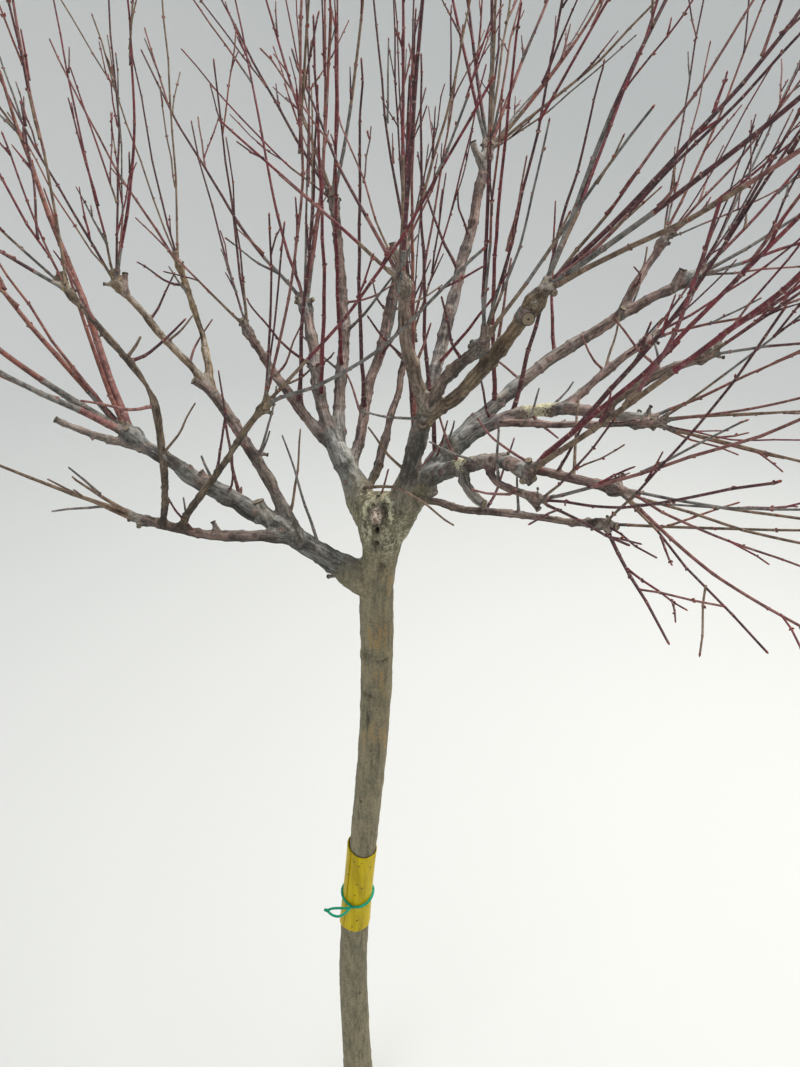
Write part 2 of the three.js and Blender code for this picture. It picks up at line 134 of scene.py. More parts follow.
# The boughs: name, parent, share of the parent's length at the foot, heading and rise at the
# foot and at the tip, length, and radius at the foot and at the tip
BOUGHS = [
    ("bough_left", "trunk", 0.913, (182, 168), (37.5, 30.5), 271, (12, 7.2)),
    ("bough_left_low", "bough_left", 0.38, (212, 206), (14, 26), 138, (7.2, 5.2)),
    ("bough_left_arch", "bough_left_low", 0.95, (312, 290), (58, 78), 154, (4.4, 3.6)),
    ("bough_left_arch_tip", "bough_left_arch", 1, (172, 162), (58, 50), 80, (3.6, 3.2)),
    ("bough_left_inner", "bough_left_low", 0.84, (-30, -34), (54, 50), 174, (4.4, 3.4)),
    ("bough_left_back", "bough_left", 0.36, (132, 138), (56, 37), 178, (8.5, 6.5)),
    ("bough_left_back_low", "bough_left_back", 1, (150, 148), (38, 40), 138, (5.6, 4.5)),
    ("bough_left_back_high", "bough_left_back", 0.96, (112, 124), (42, 50), 140, (4.8, 3.8)),
    ("bough_centre", "trunk", 0.962, (145, 125), (50, 45), 102, (13, 10.5)),
    ("bough_centre_left", "bough_centre", 0.96, (144, 130), (30, 47), 155, (6.5, 4.2)),
    ("bough_centre_middle", "bough_centre", 1, (118, 100), (44, 50), 150, (7, 5.4)),
    ("bough_centre_back", "bough_centre", 0.94, (88, 94), (40, 56), 282, (7, 5)),
    ("bough_centre_right", "bough_centre", 0.7, (80, 62), (42, 54), 250, (6.2, 4.6)),
    ("bough_centre_low", "bough_centre", 0.4, (66, 78), (36, 38), 200, (5, 3.6)),
    ("bough_front", "trunk", 0.97, (-40, -60), (64, 68), 160, (10, 7.8)),
    ("bough_front_left", "bough_front", 1, (200, 180), (66, 86), 96, (6.2, 5)),
    ("bough_front_middle", "bough_front", 1, (-66, -43), (62, 38), 87, (5.6, 4.5)),
    ("bough_front_right", "bough_front", 0.93, (-36, -38), (38, 62), 140, (7, 6)),
    ("bough_back", "trunk", 0.965, (64, 68), (44, 52), 430, (8, 5.4)),
    ("bough_right", "trunk", 0.97, (18, 32), (56, 42), 107, (10.5, 8.4)),
    ("bough_right_high", "bough_right", 1, (42, -4), (30, 25), 290, (7.6, 5)),
    ("bough_right_high_back", "bough_right_high", 0.76, (52, 44), (38, 34), 92, (4.8, 4)),
    ("bough_right_low", "bough_right", 0.92, (6, -38), (44, -6), 184, (6.8, 5.2)),
    ("bough_right_low_outer", "bough_right_low", 0.85, (-18, -16), (46, 28), 94, (4.4, 3.8)),
    ("bough_right_low_back", "bough_right_low", 0.66, (36, 24), (30, 27), 103, (4.5, 3.8)),
    ("bough_right_low_front", "bough_right_low", 0.3, (-38, -26), (18, 8), 144, (3.8, 3.1)),
    ("bough_near", "bough_right", 0.6, (-46, -74), (36, 14), 172, (7, 5.5)),
    ("bough_near_right", "bough_near", 0.8, (-40, -42), (6, 6), 92, (4.6, 4)),
    ("bough_near_low", "bough_right", 0.4, (-52, -44), (12, 21), 222, (4.2, 3.4)),
    ("bough_near_spur", "bough_near", 0.6, (-86, -42), (-8, 6), 76, (3.8, 3.2)),
]
BOUGH_STEP = 36
BOUGH_KINK = 7

# How far apart the rings of the dressed limbs are, and those of their stubs, cuts and collars
LIMB_RING_STEP = 2.5
STUB_RING_STEP = 2

# The twig masses: the bough that carries it, its number of leading shoots, and the heading,
# rise and length of the first and the last of them
MASSES = [
    ("bough_left", 4, (134, 66, 400), (195, 35, 230)),
    ("bough_left_low", 2, (206, 34, 175), (232, 50, 80)),
    ("bough_left_arch_tip", 3, (100, 78, 270), (195, 42, 210)),
    ("bough_left_inner", 3, (-40, 32, 250), (-12, 82, 280)),
    ("bough_left_back_low", 4, (40, 80, 300), (150, 56, 300)),
    ("bough_left_back_high", 3, (100, 76, 290), (150, 54, 270)),
    ("bough_centre_left", 3, (110, 80, 260), (152, 40, 170)),
    ("bough_centre_middle", 5, (40, 82, 340), (150, 50, 340)),
    ("bough_centre_back", 4, (60, 74, 320), (155, 54, 310)),
    ("bough_centre_right", 4, (20, 66, 260), (112, 72, 320)),
    ("bough_centre_low", 3, (30, 68, 300), (98, 72, 340)),
    ("bough_front_left", 4, (60, 84, 330), (165, 36, 170)),
    ("bough_front_middle", 3, (95, 84, 340), (-20, 60, 200)),
    ("bough_front_right", 4, (-38, 42, 470), (45, 54, 440)),
    ("bough_back", 6, (5, 46, 330), (125, 68, 350)),
    ("bough_right_high", 4, (-6, 26, 300), (52, 50, 350)),
    ("bough_right_high_back", 4, (0, 46, 320), (75, 60, 330)),
    ("bough_right_low", 3, (-40, -2, 120), (-2, 24, 190)),
    ("bough_right_low_outer", 3, (-28, 20, 240), (18, 56, 250)),
    ("bough_right_low_back", 3, (-20, 24, 230), (32, 50, 260)),
    ("bough_right_low_front", 3, (-12, 46, 210), (-46, 4, 260)),
    ("bough_near", 3, (-50, 46, 460), (-16, 62, 260)),
    ("bough_near_right", 4, (-68, -12, 180), (-28, 6, 270)),
    ("bough_near_low", 3, (-72, 6, 150), (-30, 44, 200)),
    ("bough_near_spur", 3, (-36, 40, 330), (-84, 16, 190)),
]
FIRST_SEED = 11

# The twigs of a mass, as in the solids
KNOB_LENGTH = 5
KNOB_LENGTH_PER_RADIUS = 2.6
KNOB_RINGS = (0, 0.55, 1)
KNOB_SWELL = (1, 1.3, 0.8)
TWIG_STEP = 125
TWIG_KINK = 5
TWIG_LIFT = 16
STEEPEST_RISE = 88
TWIG_TIP_RADIUS = 1.2
TWIG_CLEARANCE = 1.2
TWIG_TRIES = 8
LEADER_RADIUS_PER_TIP = 0.62
LEADER_LEAST_RADIUS = 2.4
LEADER_JITTER = 7
LEADER_FEET = (0.6, 0.9)
LEADER_LENGTHS = (0.88, 1.08)
LEADER_RADII = (0.85, 1.15)
SIDE_FEET = (0.2, 0.8)
SIDE_SPREAD = (26, 50)
SIDE_RISE = 19
SIDE_LENGTHS = (0.22, 0.5)
SIDE_RADIUS = 0.8
MASS_SPREAD = 80

# The finer twigs, which only the looks have: whips from the knob, branchlets and spurs
FINER_SEED = 400
LONE_SEED = 560
LONE_KINK = 9
TWIGLET_SEED = 610
TWIGLET_FEET = (0.25, 0.95)
TWIGLET_RISES = (5, 70)
TWIGLET_LENGTHS = (22, 80)
TWIGLET_TURN = 30
TWIGLET_LIFT = 18
TWIGLET_STEP = 20
TWIGLET_KINK = 14
TWIGLET_RADII = (1.5, 0.8)
TWIGLET_TONES = ("maroon", "grey", "rose", "tan", "maroon", "grey", "rose")
WHIP_LENGTHS = (0.42, 0.8)
WHIP_RADIUS = 0.62
WHIP_JITTER = 21
BRANCHLET_FEET = (0.1, 0.9)
BRANCHLET_SPREAD = (22, 48)
BRANCHLET_RISE = 20
BRANCHLET_LENGTHS = (22, 105)
BRANCHLET_SHORTNESS = 2.2
BRANCHLET_LONGEST = 0.7
BRANCHLET_RADIUS = 0.62
BRANCHLET_LEAST_RADIUS = 0.9
BRANCHLET_STEP = 40
SPUR_BEARER_LENGTH = 45
SPUR_LENGTHS = (8, 20)
SPUR_RADIUS = 1.0
STEEP_FAN = 0.75
FINE_TIP_RADIUS = 0.75

# The kinds of twig, and for all but the lone ones the step of its line and its grown radius at the tip
LEADER, SIDE, WHIP, BRANCHLET, SPUR, LONE = range(6)
TWIG_STEPS = (TWIG_STEP, TWIG_STEP, TWIG_STEP / 2, BRANCHLET_STEP, BRANCHLET_STEP)
TWIG_TIPS = (TWIG_TIP_RADIUS, TWIG_TIP_RADIUS, FINE_TIP_RADIUS, FINE_TIP_RADIUS, FINE_TIP_RADIUS)

# For each kind: the share of its radius that shows at its foot, the radius that shows at its tip, and
# the gap between its nodes
LOOK_RADIUS = 0.64
LOOK_SHARES = (LOOK_RADIUS, 0.7, 0.75, 0.85, 0.85, 1.0)
LOOK_TIPS = (0.8, 0.75, 0.7, 0.6, 0.6, 0.8)
NODE_SPACING = (40, 33, 33, 21, 12, 27)
MISSING_BUDS = 0.4

# A bud and the band of a node: the radius and the height of each ring
BUD_RINGS = ((0.5, -0.15), (1.0, 0.25), (0.82, 0.55), (0.42, 0.82))
BAND_RINGS = ((0.96, -1.0), (1.07, -0.1), (0.98, 1.0))

# The knobs whose shoots are stouter than usual
STOUTNESS = {"bough_left": 1.34, "bough_left_low": 1.3}

# Knobs that bear more thin shoots than the others
MORE_WHIPS = {
    "bough_back": 3,
    "bough_right_high": 2,
    "bough_right_high_back": 3,
    "bough_front_right": 2,
    "bough_centre_right": 1,
    "bough_centre_back": 1,
    "bough_near": -1,
}

# Pruned stubs and old ends on the boughs: bough, share of its length, heading and rise at the foot
# and at the end, length, radius at the foot and at the end, and how dead the wood is
STUBS = [
    ("bough_left", 0.95, (192, 184), (18, 32), 96, (4.8, 3.2), 0.5),
    ("bough_left", 0.98, (178, 174), (36, 32), 92, (2.7, 2), 0.7),
    ("bough_left", 0.72, (176, 180), (64, 66), 20, (3.2, 2.6), 0.3),
    ("bough_left", 0.5, (150, 140), (62, 70), 19, (8, 6.6), 0.4),
    ("bough_left", 0.14, (160, 150), (-40, -30), 26, (3.4, 2.8), 0.6),
    ("bough_left_low", 0.55, (140, 130), (60, 66), 14, (3, 2.6), 0.5),
    ("bough_left_back", 0.96, (205, 195), (50, 40), 26, (4.6, 4.2), 0.2),
    ("bough_left_back", 0.55, (30, 20), (-10, -20), 16, (2.8, 2.2), 0.5),
    ("bough_left_back_low", 0.98, (110, 100), (30, 60), 24, (3.6, 3.2), 0.2),
    ("bough_centre_back", 0.98, (120, 110), (72, 74), 22, (4.4, 4), 0.3),
    ("bough_centre_left", 0.6, (200, 190), (40, 50), 18, (3, 2.6), 0.4),
    ("bough_centre_right", 0.97, (150, 140), (66, 70), 24, (4.2, 3.8), 0.4),
    ("bough_front", 0.86, (-80, -74), (40, 44), 13, (5.4, 4.6), 0),
    ("bough_front_right", 0.98, (-96, -90), (-4, 4), 17, (5.4, 4.8), 0.1),
    ("bough_back", 0.99, (170, 160), (62, 70), 30, (4.6, 4.2), 0.7),
    ("bough_right_high", 0.74, (-60, -50), (50, 60), 16, (3.8, 3.4), 0.2),
    ("bough_right_high", 0.97, (30, 24), (64, 70), 18, (4.2, 3.8), 0.1),
    ("bough_right_low", 0.97, (-42, -40), (10, 20), 30, (4.6, 4.4), 0.8),
    ("bough_near", 0.42, (-34, 6), (34, 8), 44, (5.2, 3.4), 0.8),
    ("bough_near", 0.42, (-100, -30), (-40, -12), 46, (5.4, 4.4), 0.8),
    ("bough_near", 0.9, (-20, -10), (-40, -36), 20, (4.4, 4), 0.4),
    ("bough_near_low", 0.97, (-50, -48), (12, 16), 28, (3.4, 3), 0.8),
    ("bough_near_spur", 0.95, (-60, -58), (-30, -24), 16, (3, 2.6), 0.3),
]

# Thin twigs that leave the boughs themselves: bough, share of its length, heading and rise at the
# foot and at the tip, length, radius at the foot and at the tip, and tone
LONE_TWIGS = [
    ("bough_centre", 0.52, (-58, -27), (46, -36), 150, (2.1, 1.2), "tan"),
    ("bough_left", 0.25, (150, 140), (72, 68), 130, (1.9, 1), "grey"),
    ("bough_left_back", 0.12, (60, 70), (68, 74), 92, (1.7, 0.9), "tan"),
    ("bough_left_back", 0.5, (40, 60), (62, 70), 84, (1.6, 0.9), "grey"),
    ("bough_left", 0.6, (120, 100), (60, 72), 130, (2, 1), "maroon"),
    ("bough_right_low", 0.5, (-66, -70), (-16, 4), 50, (1.9, 1.4), "rose"),
    ("bough_centre_middle", 0.6, (210, 190), (40, 60), 110, (1.8, 0.9), "maroon"),
    ("bough_centre_back", 0.5, (-20, 0), (40, 62), 130, (1.8, 0.9), "grey"),
    ("bough_back", 0.45, (-30, -10), (50, 64), 150, (2, 0.9), "crimson"),
    ("bough_back", 0.7, (140, 120), (50, 66), 140, (2, 0.9), "maroon"),
    ("bough_right_high", 0.5, (100, 80), (58, 70), 150, (2.1, 0.9), "crimson"),
    ("bough_front", 0.5, (200, 210), (50, 60), 70, (1.7, 0.9), "tan"),
    ("bough_centre_right", 0.5, (20, 30), (50, 64), 120, (1.8, 0.9), "maroon"),
    ("bough_centre_left", 0.45, (-60, -40), (74, 84), 290, (2.3, 1), "maroon"),
    ("bough_centre_middle", 0.4, (-70, -90), (70, 82), 330, (2.4, 1), "crimson"),
    ("bough_centre_right", 0.3, (-100, -60), (74, 84), 320, (2.4, 1), "maroon"),
    ("bough_right", 0.8, (120, 100), (76, 86), 350, (2.4, 1), "maroon"),
    ("bough_front", 0.75, (100, 80), (66, 80), 310, (2.3, 1), "orange"),
    ("bough_right_high", 0.22, (-110, -80), (66, 78), 340, (2.4, 1), "crimson"),
    ("bough_right_low", 0.4, (60, 40), (62, 76), 320, (2.4, 1), "maroon"),
    ("bough_back", 0.25, (-110, -80), (70, 82), 330, (2.3, 1), "maroon"),
    ("bough_centre_back", 0.35, (-90, -60), (72, 84), 320, (2.3, 1), "crimson"),
]

# How far the foot of a bough is swollen: the extra radius, and where along the bough it has gone
SWOLLEN_FEET = {
    "bough_left": (2, 70),
    "bough_centre": (3.2, 90),
    "bough_front": (2.6, 80),
    "bough_right": (5.2, 120),
    "bough_back": (2, 70),
    "bough_near": (2, 60),
    "bough_right_low": (1.2, 70),
    "bough_right_high": (1, 60),
}

# Boughs that look slimmer than their solids: the share of the radius that shows
GIRTHS = {
    "bough_left_low": 0.88,
    "bough_left_arch_tip": 0.84,
    "bough_left_inner": 0.8,
    "bough_left_back": 0.82,
    "bough_left_back_low": 0.82,
    "bough_left_back_high": 0.82,
    "bough_front_right": 0.92,
    "bough_near_low": 0.92,
}

# Old wood that fills the fork between the boughs: where it starts and ends, and its radii there
FORK_WOOD = [
    ((52, 0, 1096), (83, -3, 1150), (17, 12)),
    ((50, 0, 1096), (35, 9, 1148), (17, 12)),
    ((54, 4, 1100), (60, 6, 1144), (16, 12)),
]

# Marks on the trunk: height, heading, half width, half height, and how far it is raised or sunk. One
# of less than SCAR_DEPTH is a scar. They show within MARKS_REACH of the trunk's middle
MARKS = [
    (1143, -108, 10, 13, -5.2),
    (1143, -108, 6.4, 8.2, 9),
    (1136, -107, 2.2, 6, -3),
    (1147, -104, 2.6, 3, 2.4),
    (1138, -113, 2.4, 2.6, 2.3),
    (1161, -104, 14, 4, 2.6),
    (1150, -84, 2.8, 15, -1.9),
    (1130, -138, 2.6, 13, -1.8),
    (1153, -127, 2.2, 8, -1.8),
    (1118, -84, 2.4, 9, -1.6),
    (1150, -142, 5, 10, 2.2),
    (1150, -72, 5, 10, 1.8),
    (1127, -107, 3, 3.4, -7.5),
    (1112.5, -107, 2.4, 2.6, -7.5),
    (1150, -56, 3, 3, -1.6),
    (1084, -80, 4.5, 6, -1.9),
    (963, -150, 7, 8, 1.3),
    (962, -66, 9, 4, 1.7),
    (911, -122, 8, 3, -1),
    (874, -115, 2, 11, -1.5),
    (800, 30, 6, 7, 1.4),
    (739, -120, 2.4, 2, -1.2),
    (737, -98, 2.4, 2, -1.2),
    (690, 150, 7, 6, 1.3),
    (392, 75, 6, 7, 1.2),
    (330, -60, 5, 5, 1),
    (214, -140, 7, 8, 1.5),
    (120, 20, 6, 6, 1.2),
]
MARKS_REACH = 44
SCAR_DEPTH = 2.0

# The wound's bare wood, the crumbly lichen over it and warm bands on the stem, as ovals on the trunk
BARE_MARKS = [(1143, -108, 5.8, 7.6)]
LICHEN_MARKS = [(1161, -106, 18.0, 8.0), (1143, -146, 7.0, 17.0), (1144, -72, 6.0, 15.0)]
OCHRE_MARKS = [
    (998, -74, 15, 24),
    (940, -84, 13, 20),
    (846, -80, 14, 30),
    (1072, -60, 9, 18),
]

# How far the old bark of the head reaches from its middle
HEAD_MIDDLE = np.array([58.0, -2.0, 1136.0])
HEAD_REACH = 46

# How warm the bark of each limb is, from 0, blue grey, to 1, tan. The others are near grey
WARMTH = {
    "trunk": 0.35,
    "bough_left_arch": 0.85,
    "bough_left_arch_tip": 0.7,
    "bough_left_inner": 0.8,
    "bough_left_back": 0.25,
    "bough_left_back_low": 0.85,
    "bough_left_back_high": 1.0,
    "bough_front": 0.3,
    "bough_front_left": 0.5,
    "bough_front_right": 0.78,
    "bough_front_middle": 0.4,
    "bough_right_low_outer": 0.5,
    "bough_near_low": 0.35,
}
USUAL_WARMTH = 0.12

# How much darker than usual the bark of some boughs is
SHADE = {
    "bough_left": 0.35,
    "bough_left_low": 0.75,
    "bough_left_arch": 0.65,
    "bough_left_arch_tip": 0.65,
    "bough_left_inner": 0.8,
    "bough_left_back": 0.55,
    "bough_left_back_low": 0.1,
    "bough_centre_left": 0.25,
    "bough_centre_back": 0.3,
    "bough_centre_middle": 0.2,
    "bough_centre_right": 0.2,
    "bough_centre_low": 0.6,
    "bough_front": 0.28,
    "bough_front_left": 0.2,
    "bough_front_middle": 0.1,
    "bough_near_low": 0.25,
}

# The radii between which a bough's bark turns from young and rosy to old and grey
YOUNG_RADII = (4.8, 8.2)

# Boughs that run on from their parent in one line, without a joint
RUN_ON = {"bough_left_arch_tip": "bough_left_arch"}

# Lichen on the boughs: bough, share of its length, and size
LICHEN_SPOTS = [
    ("bough_right_low", 0.55, 22),
    ("bough_centre", 0.3, 20),
    ("bough_right", 0.42, 17),
    ("bough_near", 0.42, 20),
    ("bough_front", 0.86, 9),
]

# The tones of the twigs: name, colour, darker colour, and how often a twig has it
TONES = {
    "crimson": ((118, 46, 53), (78, 31, 38), 0.26),
    "maroon": ((88, 46, 49), (56, 32, 35), 0.36),
    "rose": ((140, 98, 92), (100, 66, 64), 0.14),
    "orange": ((132, 80, 66), (92, 54, 48), 0.06),
    "tan": ((132, 112, 92), (90, 74, 62), 0.09),
    "grey": ((122, 118, 112), (76, 73, 70), 0.09),
}

# The tones of older wood, the boughs whose shoots are dead, and the main tone of some boughs' shoots
OLD_TONES = ("tan", "grey", "rose")
DEAD_MASSES = ("bough_left_low",)
MASS_TONES = {
    "bough_left": "orange",
    "bough_near": "crimson",
    "bough_left_back_high": "tan",
    "bough_right_low": "orange",
}

# The knots on a limb: the first one's place, their gaps, what stays free of them at the limb's end,
# how they lean, their radii as shares of the limb's, and how these change along each
KNOT_FIRST = (14, 34)
KNOT_GAPS = (14, 36)
KNOT_END = 12
KNOT_LEAN = (0.2, 1.2)
KNOT_RADII = (0.24, 0.46)
KNOT_SWELL = np.array([1.8, 1.7, 1.5, 1.25, 1.1])

# The old cuts on a knob, and the sides of a sawn face
CUTS_PER_KNOB = 3
CUT_SIDES = 14

# How far apart the low rings round a limb are, where it once bore buds
BARK_RING_SPACING = 26.0

# The first seeds of what only the looks have
CUT_SEED = 700
KNOT_SEED = 800
STUB_SEED = 1000
STUB_KNOTS = 60
TWIG_LOOK_SEED = 1300
LONE_LOOK_SEED = 1400

# The most triangles that a piece may have
MOST_TRIANGLES = 190000


def seeded(seed):
    """Evenly spread numbers from 0 to 1: each state is the last times a step, modulo a prime."""
    state = seed * SEED_SPREAD

    def draw():
        nonlocal state
        state = state * SEED_STEP % SEED_PRIME
        return state / SEED_PRIME

    return draw


def between(pair, share):
    """The value a share of the way through a pair."""
    return (1 - share) * pair[0] + share * pair[1]


def either(random, size):
    """A seeded number from -size to size."""
    return (random() * 2 - 1) * size


def within(random, pair):
    """A seeded number from the first of a pair to the last."""
    return between(pair, random())


def direction(heading, rise):
    """The unit vector of a heading and a rise."""
    turn = math.radians(heading)
    tilt = math.radians(rise)
    return np.array([math.cos(tilt) * math.cos(turn), math.cos(tilt) * math.sin(turn), math.sin(tilt)])


def smoothstep(value, low, high):
    """0 below low, 1 above high, and 3 t squared less 2 t cubed between them."""
    share = np.clip((value - low) / (high - low), 0, 1)
    return share * share * (3 - 2 * share)


def unit(vectors):
    """Vectors of length 1."""
    return vectors / np.linalg.norm(vectors, axis=-1, keepdims=True)


def point_along(points, share):
    """The point a share of the way along a line of evenly spaced points."""
    place = share * (len(points) - 1)
    before = min(math.floor(place), len(points) - 2)
    return points[before] + (points[before + 1] - points[before]) * (place - before)


def grow_path(start, heading, rise, length, step, kink, random):
    """The line that a limb follows: heading and rise turn evenly, and each step kinks a little."""
    steps = max(1, math.floor(length / step + 0.5))
    points = [np.array(start, float)]
    for i in range(steps):
        share = (i + 0.5) / steps
        turn = between(heading, share) + either(random, kink)
        tilt = between(rise, share) + either(random, kink / 2)
        points.append(points[-1] + direction(turn, tilt) * (length / steps))
    return np.array(points)


def tapered(radii, points):
    """A radius for each point of a line, which changes evenly from its foot to its tip."""
    return between(radii, np.linspace(0, 1, len(points)))


def tangents(points):
    """The direction at each point of a line: from the point before it to the point after it."""
    ahead = np.vstack([points[1:], points[-1:]])
    behind = np.vstack([points[:1], points[:-1]])
    return unit(ahead - behind)


def trunk_middle(height):
    """The trunk's middle: it stands straight, sways over to one side, and its head once more, each on
    a smooth step."""
    stem = STEM_SWAY * smoothstep(height, STEM_SWAY_START, STEM_SWAY_END)
    head = HEAD_SWAY * smoothstep(height, HEAD_SWAY_START, HEAD_SWAY_END)
    return np.stack([stem + head, np.zeros_like(stem), np.asarray(height, float)], -1)


def nearest_gap(start, end, starts, ends):
    """The squared gap between one stretch and each of many: the two nearest points of their lines,
    each held between its line's ends."""
    own = end - start
    others = ends - starts
    apart = start - starts
    a = own @ own
    e = np.einsum("ij,ij->i", others, others)
    b = others @ own
    c = apart @ own
    f = np.einsum("ij,ij->i", others, apart)
    spread = a * e - b * b
    safe = np.where(spread > 1e-9, spread, 1.0)
    s = np.where(spread > 1e-9, np.clip((b * f - c * e) / safe, 0, 1), 0.0)
    t = (b * s + f) / e
    held = np.clip(t, 0, 1)
    s = np.where(t == held, s, np.clip((b * held - c) / a, 0, 1))
    gap = apart + s[:, None] * own - held[:, None] * others
    return np.einsum("ij,ij->i", gap, gap)


@dataclass
class Limb:
    """A bough or the trunk: its line of points and its radius at each."""

    name: str
    points: np.ndarray
    radii: np.ndarray

    def point_at(self, share):
        if self.name == "trunk":
            return trunk_middle(share * TRUNK_TOP)
        return point_along(self.points, share)


@dataclass
class Twig:
    """A twig: its line, its radius at each point, the heading, rise and length it was given, its kind
    and how stout it looks."""

    points: np.ndarray
    radii: np.ndarray
    heading: float
    rise: float
    length: float
    kind: int
    stout: float = 1.0


@dataclass
class Mass:
    """The twigs on one bough's tip, and the knob that they grow from."""

    row: tuple
    knob: np.ndarray
    knob_radii: np.ndarray
    middle: np.ndarray
    leader_radius: float
    random: object
    finer: object
    twigs: list = field(default_factory=list)

    @property
    def name(self):
        return self.row[0].replace("bough", "twigs")


class Space:
    """The stretches of every limb and twig as thick lines, which say what room is taken."""

    def __init__(self):
        self.owners = []
        self.starts = np.empty((0, 3))
        self.ends = np.empty((0, 3))
        self.radii = np.empty(0)

    def take(self, owner, points, radii):
        self.owners += [owner] * (len(points) - 1)
        self.starts = np.vstack([self.starts, points[:-1]])
        self.ends = np.vstack([self.ends, points[1:]])
        self.radii = np.concatenate([self.radii, np.maximum(radii[:-1], radii[1:])])

    def is_clear(self, owner, points, radii):
        """Whether a twig keeps clear of every stretch that has another owner."""
        others = np.array([name != owner for name in self.owners])
        for start, end, radius in zip(points[:-1], points[1:], np.maximum(radii[:-1], radii[1:])):
            apart = radius + self.radii[others] + TWIG_CLEARANCE
            gaps = nearest_gap(start, end, self.starts[others], self.ends[others])
            if np.any(gaps <= apart**2):
                return False
        return True


def bough_limb(row, parent, seed):
    """One tapering bough, grown from its place on its parent."""
    name, _, at, heading, rise, length, radius = row
    random = seeded(seed)
    points = grow_path(parent.point_at(at), heading, rise, length, BOUGH_STEP, BOUGH_KINK, random)
    return Limb(name, points, tapered(radius, points))


def fan_at(row, share):
    """The heading, rise and length of a shoot a share of the way across a mass's fan."""
    return [between(pair, share) for pair in zip(row[2], row[3])]


def sprout(mass, space, kind, random, start, heading, rise, length, radius):
    """Grows a twig whose heading keeps and whose rise grows along its length, and keeps it only where
    it stays in its mass's space and touches nothing else."""
    rises = (rise - TWIG_LIFT / 2, min(rise + TWIG_LIFT / 2, STEEPEST_RISE))
    points = grow_path(start, (heading, heading), rises, length, TWIG_STEPS[kind], TWIG_KINK, random)
    radii = tapered((radius, TWIG_TIPS[kind]), points)
    reach = unit(points[-1] - mass.knob[0])
    astray = math.degrees(math.acos(np.clip(reach @ mass.middle, -1, 1)))
    if astray > MASS_SPREAD or not space.is_clear(mass.name, points, radii):
        return False
    mass.twigs.append(Twig(points, radii, heading, rise, length, kind))
    space.take(mass.name, points, radii)
    return True


def grow_leaders(mass, space):
    """The leading shoots, spread evenly from the first direction of the mass's fan to the last."""
    shoots = mass.row[1]
    random = mass.random
    for i in range(shoots):
        heading, rise, length = fan_at(mass.row, i / (shoots - 1))
        for attempt in range(1, TWIG_TRIES + 1):
            jitter = LEADER_JITTER * attempt
            start = point_along(mass.knob, within(random, LEADER_FEET))
            turn = heading + either(random, jitter)
            tilt = rise + either(random, jitter / 2)
            reach = length * within(random, LEADER_LENGTHS)
            radius = mass.leader_radius * within(random, LEADER_RADII)
            if sprout(mass, space, LEADER, random, start, turn, tilt, reach, radius):
                break


def branch_off(shoot, feet, spread, rise, random):
    """Where a twig leaves a shoot, as a share of its length, and the heading and the rise it takes, to
    one side of the shoot's or the other."""
    share = within(random, feet)
    side = -1 if random() < 0.5 else 1
    turn = shoot.heading + side * within(random, spread)
    return share, turn, shoot.rise + either(random, rise)


def grow_sides(mass, space):
    """The side shoots: each leaves a leading shoot to one side or the other."""
    random = mass.random
    for leader in list(mass.twigs):
        share, turn, tilt = branch_off(leader, SIDE_FEET, SIDE_SPREAD, SIDE_RISE, random)
        length = leader.length * within(random, SIDE_LENGTHS)
        radius = between((leader.radii[0], TWIG_TIP_RADIUS), share) * SIDE_RADIUS
        start = point_along(leader.points, share)
        sprout(mass, space, SIDE, random, start, turn, tilt, length, radius)


def grow_whips(mass, space, count):
    """Thinner shoots from the same knob, anywhere in the fan and shorter than its leading shoots."""
    random = mass.finer
    for _ in range(count):
        heading, rise, length = fan_at(mass.row, random())
        start = point_along(mass.knob, within(random, LEADER_FEET))
        turn = heading + either(random, WHIP_JITTER)
        tilt = rise + either(random, WHIP_JITTER)
        reach = length * within(random, WHIP_LENGTHS)
        sprout(mass, space, WHIP, random, start, turn, tilt, reach, mass.leader_radius * WHIP_RADIUS)


def grow_branchlets(mass, space, spacing):
    """Short twigs to both sides of every shoot, one for each spacing of its length."""
    random = mass.finer
    for shoot in list(mass.twigs):
        for _ in range(round(shoot.length / spacing)):
            share, turn, tilt = branch_off(
                shoot, BRANCHLET_FEET, BRANCHLET_SPREAD, BRANCHLET_RISE, random
            )
            longest = shoot.length * (1 - share) * BRANCHLET_LONGEST
            length = min(between(BRANCHLET_LENGTHS, random() ** BRANCHLET_SHORTNESS), longest)
            radius = between((shoot.radii[0], shoot.radii[-1]), share) * BRANCHLET_RADIUS
            radius = max(radius, BRANCHLET_LEAST_RADIUS)
            start = point_along(shoot.points, share)
            if length > SPUR_LENGTHS[0]:
                sprout(mass, space, BRANCHLET, random, start, turn, tilt, length, radius)


def grow_spurs(mass, space):
    """Spurs: very short twigs on the branchlets."""
    random = mass.finer
    bearers = [twig for twig in mass.twigs if twig.kind == BRANCHLET and twig.length > SPUR_BEARER_LENGTH]
    for twig in bearers:
        share, turn, tilt = branch_off(twig, BRANCHLET_FEET, BRANCHLET_SPREAD, BRANCHLET_RISE, random)
        start = point_along(twig.points, share)
        length = within(random, SPUR_LENGTHS)
        sprout(mass, space, SPUR, random, start, turn, tilt, length, SPUR_RADIUS)


